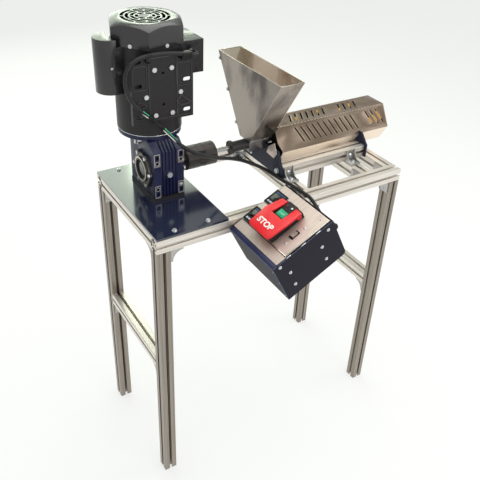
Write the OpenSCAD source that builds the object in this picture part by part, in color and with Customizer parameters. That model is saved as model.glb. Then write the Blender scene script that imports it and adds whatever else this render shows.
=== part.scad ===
// Motor driven single screw extruder on a slotted aluminium table.
// A worm gearbox turns the screw, pellets fall in from the hopper, and the
// heated barrel lies in a slotted six sided hood. Millimetres, +Z up.
// +X runs from the motor end to the nozzle end, and -Y is the operator's side.

/* [Table] */
// Width of the square slotted profile
profile = 38.1; // [36:0.1:40]
// Mouth width of each slot
slot_w = 8.1; // [7:0.1:9]
// Length of the table along X
frame_l = 810; // [780:1:860]
// Depth of the table along Y
frame_w = 388; // [380:1:410]
// Height of the top of the rails
frame_h = 881; // [700:1:1000]
// Height of the underside of the leg braces
brace_z = 428; // [200:1:600]
// Left side of the cross rail under the feed end
feed_rail_x = 451; // [446:1:456]
// Distance from the table's right end to the cross rail under the nozzle end
nozzle_rail_in = 128; // [120:1:140]
// Leg length of the cast corner brackets
bracket_leg = 36; // [32:1:38]

/* [Drive] */
// Length of the drive plate along X
plate_l = 204; // [190:1:210]
// Thickness of the drive plate
plate_t = 6.4; // [5:0.1:8]
// Thickness of the block under the gearbox
spacer_t = 9.5; // [8:0.1:12]
// Distance of the output axis behind the middle of the table
axis_off = 28; // [21:1:32]
// Place of the middle of the gearbox along X
gear_x = 116; // [112:1:120]
// Width of the gearbox body along X
gear_w = 86; // [82:1:90]
// Height of the gearbox body below its shoulder
gear_h = 128; // [122:1:134]
// Distance from the output axis to the worm axis
centre_dist = 50; // [48:1:52]
// Radius of the output shaft
out_r = 12.5; // [11:0.1:13]
// Outer radius of the motor shell
shell_r = 84; // [80:0.5:86]
// Length of the motor below its fan cover
shell_l = 228; // [215:1:240]
// Length of the fan cover
cover_l = 55; // [50:1:60]

/* [Coupling and screw] */
// Outer radius of the coupling hubs
hub_r = 32.3; // [28:0.1:34]
// Length of one hub without its jaws
hub_l = 35.3; // [32:0.1:38]
// Gap between the hub faces that the jaws fill
jaw_gap = 18.3; // [16:0.1:20]
// Radius of the screw's flights
screw_r = 7.9; // [7:0.1:8.5]
// Advance of the flight in one turn
screw_pitch = 25; // [22:1:30]
// Outer radius of the barrel
barrel_r = 12.7; // [12:0.1:13.5]
// Distance that the barrel runs past the table's right end
barrel_over = 36; // [30:1:40]

/* [Hopper] */
// Length of the hopper along X
hopper_l = 75; // [70:1:76]
// Half width of the hopper's mouth along Y
hopper_half = 158; // [130:1:162]
// Height of the hopper's mouth above the output axis
hopper_top = 229; // [200:1:250]
// Thickness of the hopper's sheet
hopper_t = 1.5; // [1:0.1:2.5]

/* [Heat hood] */
// Length of one upper side of the six sided hood
hood_side = 73.5; // [70:0.5:76]
// Distance that the hood runs past the table's right end
hood_over = 67; // [60:1:80]
// Thickness of the hood's sheet
hood_t = 1.5; // [1:0.1:2]

/* [Control box] */
// Tilt of the control box in degrees
box_tilt = 27; // [24:1:30]
// Length of the box up its slope
box_l = 193; // [185:1:200]
// Width of the box along Y
box_w = 202; // [195:1:215]
// Depth of the box
box_d = 130; // [120:1:140]
// Thickness of the box's sheet
box_t = 2; // [1.5:0.1:3]

/* [Hidden] */
$fn = 64;

// Clearances
fit = 0.05;
gap = 0.3;
over = 1;

// Slotted profile
half = profile / 2;
slot_lip = profile * 0.1;
slot_hall = profile * 0.54;
slot_side = profile * 0.085;
slot_root = profile * 0.18;
slot_depth = profile * 0.335;
core_r = profile * 0.087;
tap_l = profile * 0.6;
edge_cut = profile * 0.03;
deck_z = frame_h - profile;
cross_l = frame_w - 2 * profile;
nozzle_rail_x = frame_l - nozzle_rail_in;

// Bolts that go into the slots
bolt_r = slot_w * 0.46;
bolt_hole_r = slot_w * 0.54;
head_r = slot_w * 0.85;
head_h = slot_w * 0.55;
key_r = slot_w * 0.38;
nut_t = slot_w * 0.5;
nut_w = slot_w * 1.8;

// Cast brackets
bracket_w = profile * 0.84;
bracket_t = profile * 0.12;
cheek_t = profile * 0.08;
bracket_bolt_at = half;

// Drive plate
plate_edge = plate_t * 0.2;
plate_bolt_x = [plate_l * 0.285, plate_l * 0.75];
plate_top = frame_h + plate_t;
gear_bottom = plate_top + spacer_t;
base_bolt_r = plate_t * 0.6;

// Gearbox
axis_y = frame_w / 2 + axis_off;
axis_z = gear_bottom + gear_h / 2;
motor_y = axis_y + centre_dist;
gear_front = gear_h * 0.47;
gear_back = centre_dist + gear_w * 0.4;
gear_left = gear_x - gear_w / 2;
gear_right = gear_x + gear_w / 2;
gear_front_top = gear_h * 0.515;
shoulder_up = gear_h * 0.69;
shoulder_z = axis_z + shoulder_up;
shoulder_y = gear_front * 0.56;
gear_cut = gear_w * 0.035;
wheel_teeth = 25;
wheel_pitch_r = centre_dist * 0.625;
worm_pitch_r = centre_dist - wheel_pitch_r;
tooth_pitch = 2 * PI * wheel_pitch_r / wheel_teeth;
tooth_add = tooth_pitch * 0.27;
tooth_ded = tooth_pitch * 0.36;
wheel_tip_r = wheel_pitch_r + tooth_add;
wheel_w = gear_w * 0.19;
wheel_room_r = wheel_tip_r * 1.14;
wheel_room_w = gear_w * 0.5;
worm_tip_r = worm_pitch_r + tooth_add;
worm_root_r = worm_pitch_r - tooth_ded;
worm_room_r = worm_tip_r * 1.08;
worm_l = wheel_pitch_r * 1.5;
worm_neck_r = worm_root_r * 0.78;
worm_low_r = worm_neck_r * 1.55;
bearing_w = gear_w * 0.14;
worm_foot = worm_l / 2 + bearing_w + over;
sleeve_r = out_r * 1.4;
ball_r = sleeve_r * 1.62;
side_hole_r = wheel_tip_r * 1.05;
cover_t = gear_w * 0.075;
cover_r = side_hole_r * 1.3;
lobe_r = cover_r * 0.16;
lobe_at = cover_r * 0.98;
pilot_h = cover_t * 0.75;
pilot_r = side_hole_r * 0.98;
cover_bolt_r = lobe_r * 0.4;
boss_l = (gear_w - wheel_room_w) / 2 - over;
pad_w = gear_w * 0.21;
pad_h = gear_h * 0.29;
pad_out = cover_t * 0.25;
groove_w = gear_w * 0.045;
groove_step = gear_w * 0.11;
plug_r = gear_w * 0.1;
shaft_end = gear_left - cover_t - pilot_h * 0.2;
base_bolt_dx = gear_w * 0.4;
base_bolt_dy = gear_h * 0.39;

// Motor
flange_t = gear_h * 0.09;
flange_r = shell_r * 0.982;
flange_bolt_at = shell_r * 0.887;
motor_z = shoulder_z + flange_t;
motor_top = motor_z + shell_l;
motor_shaft_r = worm_neck_r * 0.8;
shell_t = shell_r * 0.05;
front_t = shell_r * 0.16;
rotor_r = shell_r * 0.52;
rotor_l = shell_l * 0.48;
rotor_z = motor_z + shell_l * 0.26;
air_gap = shell_r * 0.01;
cover_z = motor_top - profile * 0.03;
cover_hex_r = shell_r * 1.18;
cover_flat = cover_hex_r * cos(30);
cover_sheet = shell_r * 0.016;
cover_disc_r = shell_r * 0.95;
cover_slope = cover_l * 0.23;
cover_turn = 10;
bell_r = shell_r;
bell_t = shell_r * 0.14;
fan_r = shell_r * 0.83;
fan_z = cover_z + cover_l * 0.2;
fan_t = cover_l * 0.46;
fan_blades = 9;
ring_count = 4;
ring_first = shell_r * 0.2;
ring_step = shell_r * 0.145;
ring_slot = shell_r * 0.09;
rib_w = shell_r * 0.06;
foot_t = shell_r * 0.038;
foot_face = motor_y - shell_r * 1.06;
foot_half = shell_r * 0.98;
foot_top = motor_z + shell_l * 0.94;
foot_bottom = motor_z + shell_l * 0.19;
foot_fold = shell_r * 0.14;
foot_bolts = [
  [-0.27, 0.786], [0.27, 0.786], [-0.55, 0.5], [0.55, 0.5], [-0.27, 0.275], [0.27, 0.275]
];
foot_bolt_r = shell_r * 0.045;
foot_bolt_in = shell_r * 0.1;
cap_r = shell_r * 0.44;
cap_out = shell_r * 1.62;
cap_bottom = motor_z + shell_l * 0.48;
cap_top = motor_z + shell_l * 1.07;
cap_t = shell_r * 0.02;
conduit_in = shell_r * 0.83;
conduit_out = shell_r * 1.6;
conduit_front = motor_y - shell_r * 0.56;
conduit_seam = motor_y - shell_r * 0.12;
conduit_back = motor_y + shell_r * 0.6;
conduit_bottom = motor_z + shell_l * 0.605;
conduit_top = motor_z + shell_l * 0.978;
conduit_t = shell_r * 0.025;
exit_x = gear_x + shell_r * 1.18;
exit_z = conduit_bottom + (conduit_top - conduit_bottom) * 0.74;

// Coupling and screw
coupling_x = gear_right + gear_w * 0.36;
jaw_x = coupling_x + hub_l;
hub_x = jaw_x + jaw_gap;
jaw_in = hub_r * 0.4;
jaw_angle = 45;
leg_angle = 14;
jaw_turn = 20;
shank_r = screw_r * 0.8;
root_r = screw_r * 0.64;
bore_r = screw_r + fit;
thrust_x = feed_rail_x - hopper_l * 1.547;
thrust_t = barrel_r * 0.45;
thrust_r = barrel_r * 1.58;
tube_r = barrel_r * 1.22;
throat_x = feed_rail_x - hopper_l * 0.79;
feed_plate_x = feed_rail_x - profile * 0.105;
throat_y = barrel_r * 1.26;
throat_z = barrel_r * 1.57;
cap_plate_half = barrel_r * 2.2;
cap_plate_t = barrel_r * 0.3;
hopper_x = feed_rail_x - hopper_l * 0.88;
hopper_z = axis_z + throat_z;
port_half = screw_r * 0.8;
port_l = barrel_r * 2.4;
port_x = throat_x + barrel_r * 0.7;
barrel_end = frame_l + barrel_over;
screw_end = barrel_end - barrel_r * 0.8;
slices_per_turn = 10;

// Barrel supports
end_plate_t = profile * 0.157;
rail_gap = profile * 1.73;
rail_front_y = axis_y - rail_gap - profile;
rail_back_y = axis_y + rail_gap;
rail_x = feed_plate_x + end_plate_t;
rail_end = nozzle_rail_x + profile * 1.97;
rail_l = rail_end - rail_x;
rail_mid_z = frame_h + half;
feed_plate_z = frame_h + end_plate_t * 0.3;
feed_plate_top = axis_z - barrel_r * 0.3;
band_r = barrel_r * 1.5;
band_l = barrel_r * 2.8;
band_shares = [0.283, 0.481, 0.811];
band_x = [for (share = band_shares) throat_x + (barrel_end - throat_x) * share];
hood_end = frame_l + hood_over;
nozzle_r = barrel_r * 1.26;
nozzle_out = hood_end + barrel_r * 0.55;

// Hood
hood_x = feed_rail_x + profile * 0.26;
hood_mid = axis_z - hood_side * 0.2;
hood_top = hood_mid + hood_side * sin(60);
hood_bottom = hood_mid - hood_side * 0.68;
hood_low_half = hood_side * 0.606;
hood_lip = hood_side * 0.12;
hood_l = hood_end - hood_x;
slot_pitch = hood_l * 0.0495;
slot_first = hood_x + hood_l * 0.163;
hood_slot_w = slot_pitch * 0.165;
slot_from = hood_side * 0.16;
slot_to = hood_side * 0.74;
slot_lean = hood_side * 0.3;
front_slots = [0, 1, 2, 3, 4, 5, 6, 7, 8, 9, 10, 13, 14, 15];
top_slots = [0, 1, 2, 3, 4, 5, 6, 9, 10, 11, 12];

// Control box
box_from_gear = 89.3;
box_x = gear_x + box_from_gear;
box_z = frame_h - profile * 0.643;
panel_in = box_l * 0.078;
panel_end = box_l * 0.969;
plate_from = box_l * 0.233;
panel_t = box_t;
side_t = box_t * 1.5;
panel_top = panel_t * 2;
edge_v = box_w * 0.025;
side_screw_r = box_t * 1.2;
side_screw_head = box_t * 2.4;
side_screws = [[0.1, 0.08], [0.19, 0.38], [0.18, 0.74], [0.72, 0.39], [0.71, 0.75], [0.89, 0.11]];
dial = 48;
dial_u = [box_l * 0.238, box_l * 0.606];
dial_v = box_w * 0.02;
dial_body = dial * 0.92;
dial_lip = dial * 0.08;
dial_depth = dial * 1.3;
base_u = box_l * 0.244;
base_l = box_l * 0.549;
base_v = box_w * 0.353;
base_w = box_w * 0.32;
base_h = box_d * 0.138;
base_mid = base_v + base_w / 2;
island_h = box_d * 0.054;
island_w = box_w * 0.173;
paddle_u = box_l * 0.197;
paddle_l = box_l * 0.566;
paddle_t = box_d * 0.045;
paddle_h = box_d * 0.265;
paddle_drop = box_d * 0.061;
paddle_round = box_w * 0.045;
paddle_low_w = box_w * 0.436;
paddle_mid_w = box_w * 0.475;
paddle_tip_w = box_w * 0.41;
arm_u = box_l * 0.515;
arm_room = box_w * 0.222;
arm_tip_room = box_w * 0.19;
ear_l = box_l * 0.075;
ear_t = box_w * 0.012;
pin_u = box_l * 0.72;
pin_h = base_h * 0.65;
pin_r = box_t * 1.2;
pin_l = box_w * 0.03;
button_u = box_l * 0.538;
button_l = box_l * 0.103;
button_w = island_w * 0.86;
button_h = island_h * 1.4;
button_up = island_h * 0.25;
button_travel = 3;
rocker_u = box_l * 0.52;
rocker_v = box_w * 0.8;
rocker_l = 24;
rocker_w = 13;
rocker_h = 4;
rocker_pin_r = 1;
mouth = 1.5;
swing = 9;
corner_round = box_l * 0.06;

// Lead from the motor to the control box. It runs round the front of the
// foot plate, down past the gearbox, under the screw's shank, along the feed
// rail's edge and over the front rail to a right angled fitting in the box's
// upper end wall.
cord_r = 4.5;
cord_sides = 8;
relief_l = 20;
relief_thick = cord_r * 1.8;
relief_thin = cord_r * 1.1;
gland_depth = 95;
gland_v = 140;
gland_out = 24;
gland_r = cord_r * 2;
gland_x = box_x + box_l * cos(box_tilt) + gland_depth * sin(box_tilt);
gland_z = box_z + box_l * sin(box_tilt) - gland_depth * cos(box_tilt);
elbow = [gland_x + gland_out * cos(box_tilt), -gland_v, gland_z + gland_out * sin(box_tilt)];
cord_start = [exit_x, conduit_front - relief_l, exit_z];
cord_end = elbow + [0, gland_r + relief_l, 0];
route = [
  [210, 187, 1263], [197, 175, 1266], [180, 170, 1270], [156, 170, 1275], [130, 170, 1279],
  [78, 170, 1281], [54, 170, 1278], [34, 170, 1269], [20, 170, 1254],
  [14, 170, 1234], [15, 170, 1210], [23, 170, 1184], [39, 170, 1159], [60, 169, 1137],
  [83, 168, 1115], [106, 164, 1091], [128, 157, 1064], [152, 151, 1038], [179, 149, 1017],
  [208, 150, 1000], [239, 155, 985], [271, 164, 970], [303, 176, 956], [334, 187, 941],
  [363, 194, 926], [391, 193, 911], [414, 185, 899], [431, 170, 890], [438, 150, 886],
  [444, 97, 886], [449, 70, 886], [453, 42, 886], [455, 14, 886],
  [455, -12, 886], [452, -37, 882], [447, -62, 876], [443, -86, 871], [442, -99, 870]
];
cord_points = concat([cord_start], route, [cord_end]);

// Centre of the whole machine, which the origin stands under
left_end = gear_x - cap_out;
right_end = nozzle_out;
front_end = -box_w - side_screw_head / 2;
mid_x = (left_end + right_end) / 2;
mid_y = (front_end + frame_w) / 2;

module place() {
  translate([-mid_x, -mid_y, 0]) children();
}

module along_x(x, y, z) {
  translate([x, y, z]) rotate([0, 90, 0]) children();
}

// Box between two corners
module block(a, b) {
  translate(a) cube(b - a);
}

// Slotted profile

module slot_cut() {
  polygon([
    [half + over, -slot_w / 2],
    [half - slot_lip, -slot_w / 2],
    [half - slot_lip, -slot_hall / 2],
    [half - slot_lip - slot_side, -slot_hall / 2],
    [half - slot_depth, -slot_root / 2],
    [half - slot_depth, slot_root / 2],
    [half - slot_lip - slot_side, slot_hall / 2],
    [half - slot_lip, slot_hall / 2],
    [half - slot_lip, slot_w / 2],
    [half + over, slot_w / 2]
  ]);
}

module beam(length) {
  linear_extrude(length) difference() {
    intersection() {
      square(profile, center = true);
      rotate(45) square((profile - edge_cut) * sqrt(2), center = true);
    }
    for (turn = [0 : 90 : 270]) rotate(turn) slot_cut();
    circle(core_r);
  }
}

module beam_x(x, y, z, length) {
  along_x(x, y + half, z + half) beam(length);
}

module beam_y(x, y, z, length) {
  translate([x + half, y + length, z + half]) rotate([90, 0, 0]) beam(length);
}

module leg(x, y) {
  place() color("gainsboro") translate([x + half, y + half, 0]) beam(deck_z);
}

module leg_front_left() leg(0, 0);
module leg_front_right() leg(frame_l - profile, 0);
module leg_back_left() leg(0, frame_w - profile);
module leg_back_right() leg(frame_l - profile, frame_w - profile);

module rail_front() {
  place() color("gainsboro") beam_x(0, 0, deck_z, frame_l);
}

module rail_back() {
  place() color("gainsboro") beam_x(0, frame_w - profile, deck_z, frame_l);
}

module cross_rail(x) {
  place() color("gainsboro") beam_y(x, profile, deck_z, cross_l);
}

module cross_rail_drive() cross_rail(0);
module cross_rail_feed() cross_rail(feed_rail_x);
module cross_rail_nozzle() cross_rail(nozzle_rail_x);
module cross_rail_end() cross_rail(frame_l - profile);

module leg_braces() {
  for (x = [0, frame_l - profile]) place() color("gainsboro") beam_y(x, profile, brace_z, cross_l);
}

module barrel_rails() {
  for (y = [rail_front_y, rail_back_y]) place() color("gainsboro") beam_x(rail_x, y, frame_h, rail_l);
}

// Corner brackets. Each place gives the inner corner, the plane that the
// bracket lies in and how many quarter turns it takes in that plane.
in_xz = [0, 0, 0];
in_yz = [0, 0, 90];
in_xy = [90, 0, 0];
side_xs = [half, frame_l - half];
bracket_places = [
  for (y = [half, frame_w - half]) each [
    [[profile, y, deck_z], in_xz, 1],
    [[frame_l - profile, y, deck_z], in_xz, 2]
  ],
  for (x = side_xs) for (z = [deck_z, brace_z]) each [
    [[x, profile, z], in_yz, 1],
    [[x, frame_w - profile, z], in_yz, 2]
  ],
  for (x = [feed_rail_x, nozzle_rail_x, frame_l - profile]) each [
    [[x, profile, deck_z + half], in_xy, 2],
    [[x, frame_w - profile, deck_z + half], in_xy, 3]
  ],
  for (x = [feed_rail_x + half, nozzle_rail_x + half]) each [
    [[x, rail_front_y, frame_h], in_yz, 3],
    [[x, rail_back_y, frame_h], in_yz, 3]
  ]
];

module at_brackets() {
  for (spot = bracket_places) translate(spot[0]) rotate(spot[1]) rotate([0, spot[2] * 90, 0]) children();
}

module cheek() {
  difference() {
    square(bracket_leg);
    translate([bracket_leg, bracket_leg]) circle(bracket_leg - bracket_t * 1.4);
  }
}

module bracket() {
  difference() {
    union() {
      block([0, -bracket_w / 2, 0], [bracket_leg, bracket_w / 2, bracket_t]);
      block([0, -bracket_w / 2, 0], [bracket_t, bracket_w / 2, bracket_leg]);
      for (side = [-1, 1]) translate([0, side * (bracket_w - cheek_t) / 2 + cheek_t / 2, 0])
        rotate([90, 0, 0]) linear_extrude(cheek_t) cheek();
    }
    translate([bracket_bolt_at, 0, -over]) cylinder(r = bolt_hole_r, h = bracket_t + 2 * over);
    along_x(-over, 0, bracket_bolt_at) cylinder(r = bolt_hole_r, h = bracket_t + 2 * over);
  }
}

module corner_brackets() {
  place() color("silver") at_brackets() bracket();
}

// Button head bolt that clamps a sheet of the given thickness to a slot,
// with its nut under the slot's lips. The face of the profile is at z = 0.
module slot_bolt(thick) {
  difference() {
    union() {
      translate([0, 0, thick]) cylinder(r1 = head_r, r2 = head_r * 0.65, h = head_h);
      translate([0, 0, -slot_lip - nut_t]) cylinder(r = bolt_r, h = slot_lip + nut_t + thick);
      translate([-nut_w / 2, -nut_w / 2, -slot_lip - nut_t]) cube([nut_w, nut_w, nut_t]);
    }
    translate([0, 0, thick + head_h / 2]) cylinder(r = key_r, h = head_h, $fn = 6);
  }
}

module bracket_bolts() {
  place() color("dimgray") at_brackets() {
    translate([bracket_bolt_at, 0, 0]) slot_bolt(bracket_t);
    translate([0, 0, bracket_bolt_at]) rotate([0, 90, 0]) slot_bolt(bracket_t);
  }
}

// Drive plate and block

module at_base_bolts() {
  for (dx = [-1, 1]) for (dy = [-1, 1])
    translate([gear_x + dx * base_bolt_dx, axis_y + gear_h * 0.094 + dy * base_bolt_dy, 0]) children();
}

module at_plate_bolts() {
  for (x = plate_bolt_x) for (y = [half, frame_w - half]) translate([x, y, frame_h]) children();
}

module drive_plate() {
  place() color("whitesmoke") difference() {
    block([0, plate_edge, frame_h], [plate_l, frame_w - plate_edge, plate_top]);
    at_plate_bolts() translate([0, 0, -over]) cylinder(r = bolt_hole_r, h = plate_t + 2 * over);
    translate([0, 0, frame_h - over]) at_base_bolts()
      cylinder(r = base_bolt_r + gap, h = plate_t + 2 * over);
  }
}

// Cap screw with a washer that holds an end plate to a rail's tapped core.
// The plate's outer face is at x = 0 and the screw runs along +X.
module core_bolt() {
  difference() {
    union() {
      rotate([0, -90, 0]) cylinder(r = head_r * 1.25, h = end_plate_t * 0.25);
      rotate([0, -90, 0]) cylinder(r = head_r, h = end_plate_t * 0.25 + head_h);
      rotate([0, 90, 0]) cylinder(r = core_r - fit, h = end_plate_t + tap_l);
    }
    translate([-end_plate_t * 0.25 - head_h * 0.5, 0, 0]) rotate([0, -90, 0])
      cylinder(r = key_r, h = head_h, $fn = 6);
  }
}

module plate_bolts() {
  place() color("silver") {
    at_plate_bolts() slot_bolt(plate_t);
    at_rail_ends(feed_plate_x) core_bolt();
    at_rail_ends(rail_end + end_plate_t) mirror([1, 0, 0]) core_bolt();
  }
}

module gearbox_block() {
  place() color("silver") difference() {
    block([gear_left - over, axis_y - gear_front - over, plate_top],
          [gear_right + over, axis_y + gear_back + over, gear_bottom]);
    translate([0, 0, plate_top - over]) at_base_bolts()
      cylinder(r = base_bolt_r + gap, h = spacer_t + 2 * over);
  }
}

// Gearbox

module gear_outline() {
  polygon([
    [-gear_front + gear_cut, -gear_h / 2],
    [gear_back - gear_cut, -gear_h / 2],
    [gear_back, gear_cut - gear_h / 2],
    [gear_back, shoulder_up - gear_cut],
    [gear_back - gear_cut, shoulder_up],
    [-shoulder_y, shoulder_up],
    [-gear_front, gear_front_top],
    [-gear_front, gear_cut - gear_h / 2]
  ]);
}

module at_side_bolts() {
  for (turn = [30 : 60 : 330]) rotate([turn, 0, 0]) translate([0, 0, lobe_at]) children();
}

module gearbox_housing() {
  front = axis_y - gear_front;
  place() color("slategray") difference() {
    union() {
      translate([gear_left, axis_y, axis_z]) rotate([90, 0, 90]) linear_extrude(gear_w) gear_outline();
      for (x = [gear_left + gap, gear_right - pad_w - gap])
        for (z = [gear_bottom + gap, axis_z + gear_front_top - pad_h])
          block([x, front - pad_out, z], [x + pad_w, front + over, z + pad_h]);
      translate([gear_x, front - pad_out, axis_z]) rotate([-90, 0, 0]) cylinder(r = plug_r, h = pad_out + over);
    }
    along_x(gear_x - wheel_room_w / 2, axis_y, axis_z) cylinder(r = wheel_room_r, h = wheel_room_w);
    along_x(gear_left - over, axis_y, axis_z) cylinder(r = side_hole_r, h = gear_w + 2 * over);
    translate([gear_x, motor_y, axis_z - worm_l / 2 - over])
      cylinder(r = worm_room_r, h = shoulder_up + worm_l);
    translate([gear_x, motor_y, axis_z - worm_foot]) cylinder(r = worm_low_r, h = worm_foot);
    for (i = [-2 : 2]) block(
      [gear_x + i * groove_step - groove_w / 2, front - over, axis_z + plug_r * 1.3],
      [gear_x + i * groove_step + groove_w / 2, front + groove_w, axis_z + shoulder_up * 2]
    );
    for (x = [gear_left + pad_w / 2, gear_right - pad_w / 2]) for (side = [-1, 1]) {
      middle = side < 0 ? gear_bottom + pad_h / 2 : axis_z + gear_front_top - pad_h / 2;
      translate([x, front - pad_out - over, middle - pad_h * 0.22]) rotate([-90, 0, 0])
        cylinder(r = pad_w * 0.22, h = pad_w);
      block([x - pad_w * 0.22, front - pad_out - over, middle + pad_h * 0.05],
            [x + pad_w * 0.22, front + pad_w * 0.3, middle + pad_h * 0.3]);
    }
    translate([gear_x, front - pad_out - over, axis_z]) rotate([-90, 0, 0])
      cylinder(r = plug_r * 0.6 + gap, h = gear_front * 0.25);
    translate([0, 0, gear_bottom - over]) at_base_bolts()
      cylinder(r = base_bolt_r + fit, h = bearing_w + over);
    for (x = [gear_left - over, gear_right - cover_t]) translate([x, axis_y, axis_z]) at_side_bolts()
      rotate([0, 90, 0]) cylinder(r = cover_bolt_r + fit, h = cover_t + over);
  }
}

module cover_face() {
  difference() {
    union() {
      circle(cover_r);
      for (turn = [30 : 60 : 330]) rotate(turn) translate([lobe_at, 0]) circle(lobe_r);
    }
    circle(sleeve_r + gap);
    for (turn = [30 : 60 : 330]) rotate(turn) translate([lobe_at, 0]) circle(cover_bolt_r + fit);
  }
}

// One bearing cover, with the gearbox body on its +X side
module side_cover() {
  rotate([0, -90, 0]) linear_extrude(cover_t) cover_face();
  ring_x(-cover_t - pilot_h, 0, 0, pilot_r, pilot_r * 0.77, pilot_h);
  difference() {
    along_x(0, 0, 0) cylinder(r = side_hole_r - fit, h = boss_l);
    along_x(-over, 0, 0) cylinder(r = sleeve_r + gap, h = boss_l);
    along_x(boss_l - bearing_w, 0, 0) cylinder(r = ball_r, h = bearing_w + over);
  }
}

module at_sides() {
  translate([gear_left, axis_y, axis_z]) children();
  translate([gear_right, axis_y, axis_z]) mirror([1, 0, 0]) children();
}

module gearbox_covers() {
  place() color("lightgray") at_sides() side_cover();
}

// Hexagon head bolt along +X with its head's underside at x = 0
module hex_bolt(r, length) {
  rotate([0, 90, 0]) cylinder(r = r, h = length);
  rotate([0, -90, 0]) cylinder(r = r * 1.9, h = r * 1.3, $fn = 6);
}

module gearbox_bolts() {
  front = axis_y - gear_front - pad_out;
  place() color("silver") {
    at_sides() translate([-cover_t, 0, 0]) at_side_bolts()
      hex_bolt(cover_bolt_r, cover_t * 1.9);
    translate([0, 0, frame_h]) at_base_bolts()
      cylinder(r = base_bolt_r, h = plate_t + spacer_t + bearing_w - over);
    translate([0, 0, frame_h]) at_base_bolts() mirror([0, 0, 1])
      cylinder(r = base_bolt_r * 1.8, h = base_bolt_r * 1.2, $fn = 6);
    translate([gear_x, front, axis_z]) rotate([-90, 0, 0]) cylinder(r = plug_r * 0.6, h = gear_front * 0.15);
    translate([gear_x, front, axis_z]) rotate([90, 0, 0]) cylinder(r = plug_r * 0.9, h = plug_r * 0.6, $fn = 6);
  }
}

module ring_x(x, y, z, outer, inner, length) {
  along_x(x, y, z) difference() {
    cylinder(r = outer, h = length);
    translate([0, 0, -over]) cylinder(r = inner, h = length + 2 * over);
  }
}

module ring_z(z, outer, inner, length) {
  translate([gear_x, motor_y, z]) difference() {
    cylinder(r = outer, h = length);
    translate([0, 0, -over]) cylinder(r = inner, h = length + 2 * over);
  }
}

module gearbox_bearings() {
  place() color("gray") {
    for (side = [-1, 1])
      ring_x(gear_x + side * (gear_w / 2 - boss_l + bearing_w / 2) - bearing_w / 2,
             axis_y, axis_z, ball_r - fit, sleeve_r + fit, bearing_w - gap);
    ring_z(axis_z - worm_foot, worm_low_r - fit, worm_neck_r + fit, bearing_w);
    ring_z(axis_z + worm_l / 2 + over, worm_room_r - fit, worm_neck_r + fit, bearing_w);
  }
}

// Section across the worm: one thread, as wide as its share of a turn
worm_angles = [-165, -135, -105, -75, -28, 0, 28, 75, 105, 135, 165];

module worm_section() {
  polygon([for (a = worm_angles) (abs(a) < 60 ? worm_tip_r : worm_root_r) * [cos(a), sin(a)]]);
}

worm_turns = worm_l / tooth_pitch;

module worm() {
  place() color("gray") translate([gear_x, motor_y, axis_z]) difference() {
    union() {
      translate([0, 0, -worm_l / 2])
        linear_extrude(worm_l, twist = -360 * worm_turns, slices = round(worm_turns * 12), $fn = 11) worm_section();
      translate([0, 0, gap - worm_foot]) cylinder(r = worm_neck_r, h = worm_foot * 2 - gap);
    }
    translate([0, 0, -worm_foot - over]) cylinder(r = motor_shaft_r + fit, h = 3 * worm_foot);
  }
}

tooth_half_tip = 360 / wheel_teeth * 0.09;
tooth_half_root = 360 / wheel_teeth * 0.26;

module wheel_face() {
  root = wheel_pitch_r - tooth_ded;
  polygon([for (i = [0 : wheel_teeth - 1]) each [
    root * [cos(i * 360 / wheel_teeth - tooth_half_root), sin(i * 360 / wheel_teeth - tooth_half_root)],
    wheel_tip_r * [cos(i * 360 / wheel_teeth - tooth_half_tip), sin(i * 360 / wheel_teeth - tooth_half_tip)],
    wheel_tip_r * [cos(i * 360 / wheel_teeth + tooth_half_tip), sin(i * 360 / wheel_teeth + tooth_half_tip)],
    root * [cos(i * 360 / wheel_teeth + tooth_half_root), sin(i * 360 / wheel_teeth + tooth_half_root)]
  ]]);
}

// The wheel is turned so that a gap faces the worm's thread
wheel_phase = 90 + 360 / wheel_teeth * (1.25 - worm_turns / 2);

module worm_wheel() {
  place() color("peru") along_x(gear_left - cover_t, axis_y, axis_z) difference() {
    union() {
      translate([0, 0, cover_t + gear_w / 2 - wheel_w / 2]) rotate(wheel_phase) linear_extrude(wheel_w) wheel_face();
      cylinder(r = sleeve_r, h = gear_w + 2 * cover_t);
    }
    translate([0, 0, -over]) cylinder(r = out_r + fit, h = gear_w + 2 * cover_t + 2 * over);
  }
}

module output_shaft() {
  place() color("silver") along_x(shaft_end, axis_y, axis_z)
    cylinder(r = out_r, h = coupling_x + hub_l * 0.95 - shaft_end);
}

module at_flange_bolts() {
  for (turn = [45 : 90 : 315]) translate([gear_x, motor_y, 0]) rotate(turn)
    translate([flange_bolt_at, 0, 0]) children();
}

module input_flange() {
  place() color("slategray") difference() {
    translate([gear_x, motor_y, shoulder_z]) cylinder(r = flange_r, h = flange_t);
    translate([gear_x, motor_y, shoulder_z - over]) cylinder(r = worm_neck_r + gap, h = flange_t + 2 * over);
    translate([0, 0, shoulder_z - over]) at_flange_bolts() cylinder(r = foot_bolt_r + fit, h = flange_t + 2 * over);
  }
}

// Motor

module motor_tube(r, z, length) {
  translate([gear_x, motor_y, z]) cylinder(r = r, h = length);
}

module at_foot_bolts() {
  for (spot = foot_bolts)
    translate([gear_x + spot[0] * shell_r, foot_face, motor_z + spot[1] * shell_l]) rotate([-90, 0, 0]) children();
}

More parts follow.
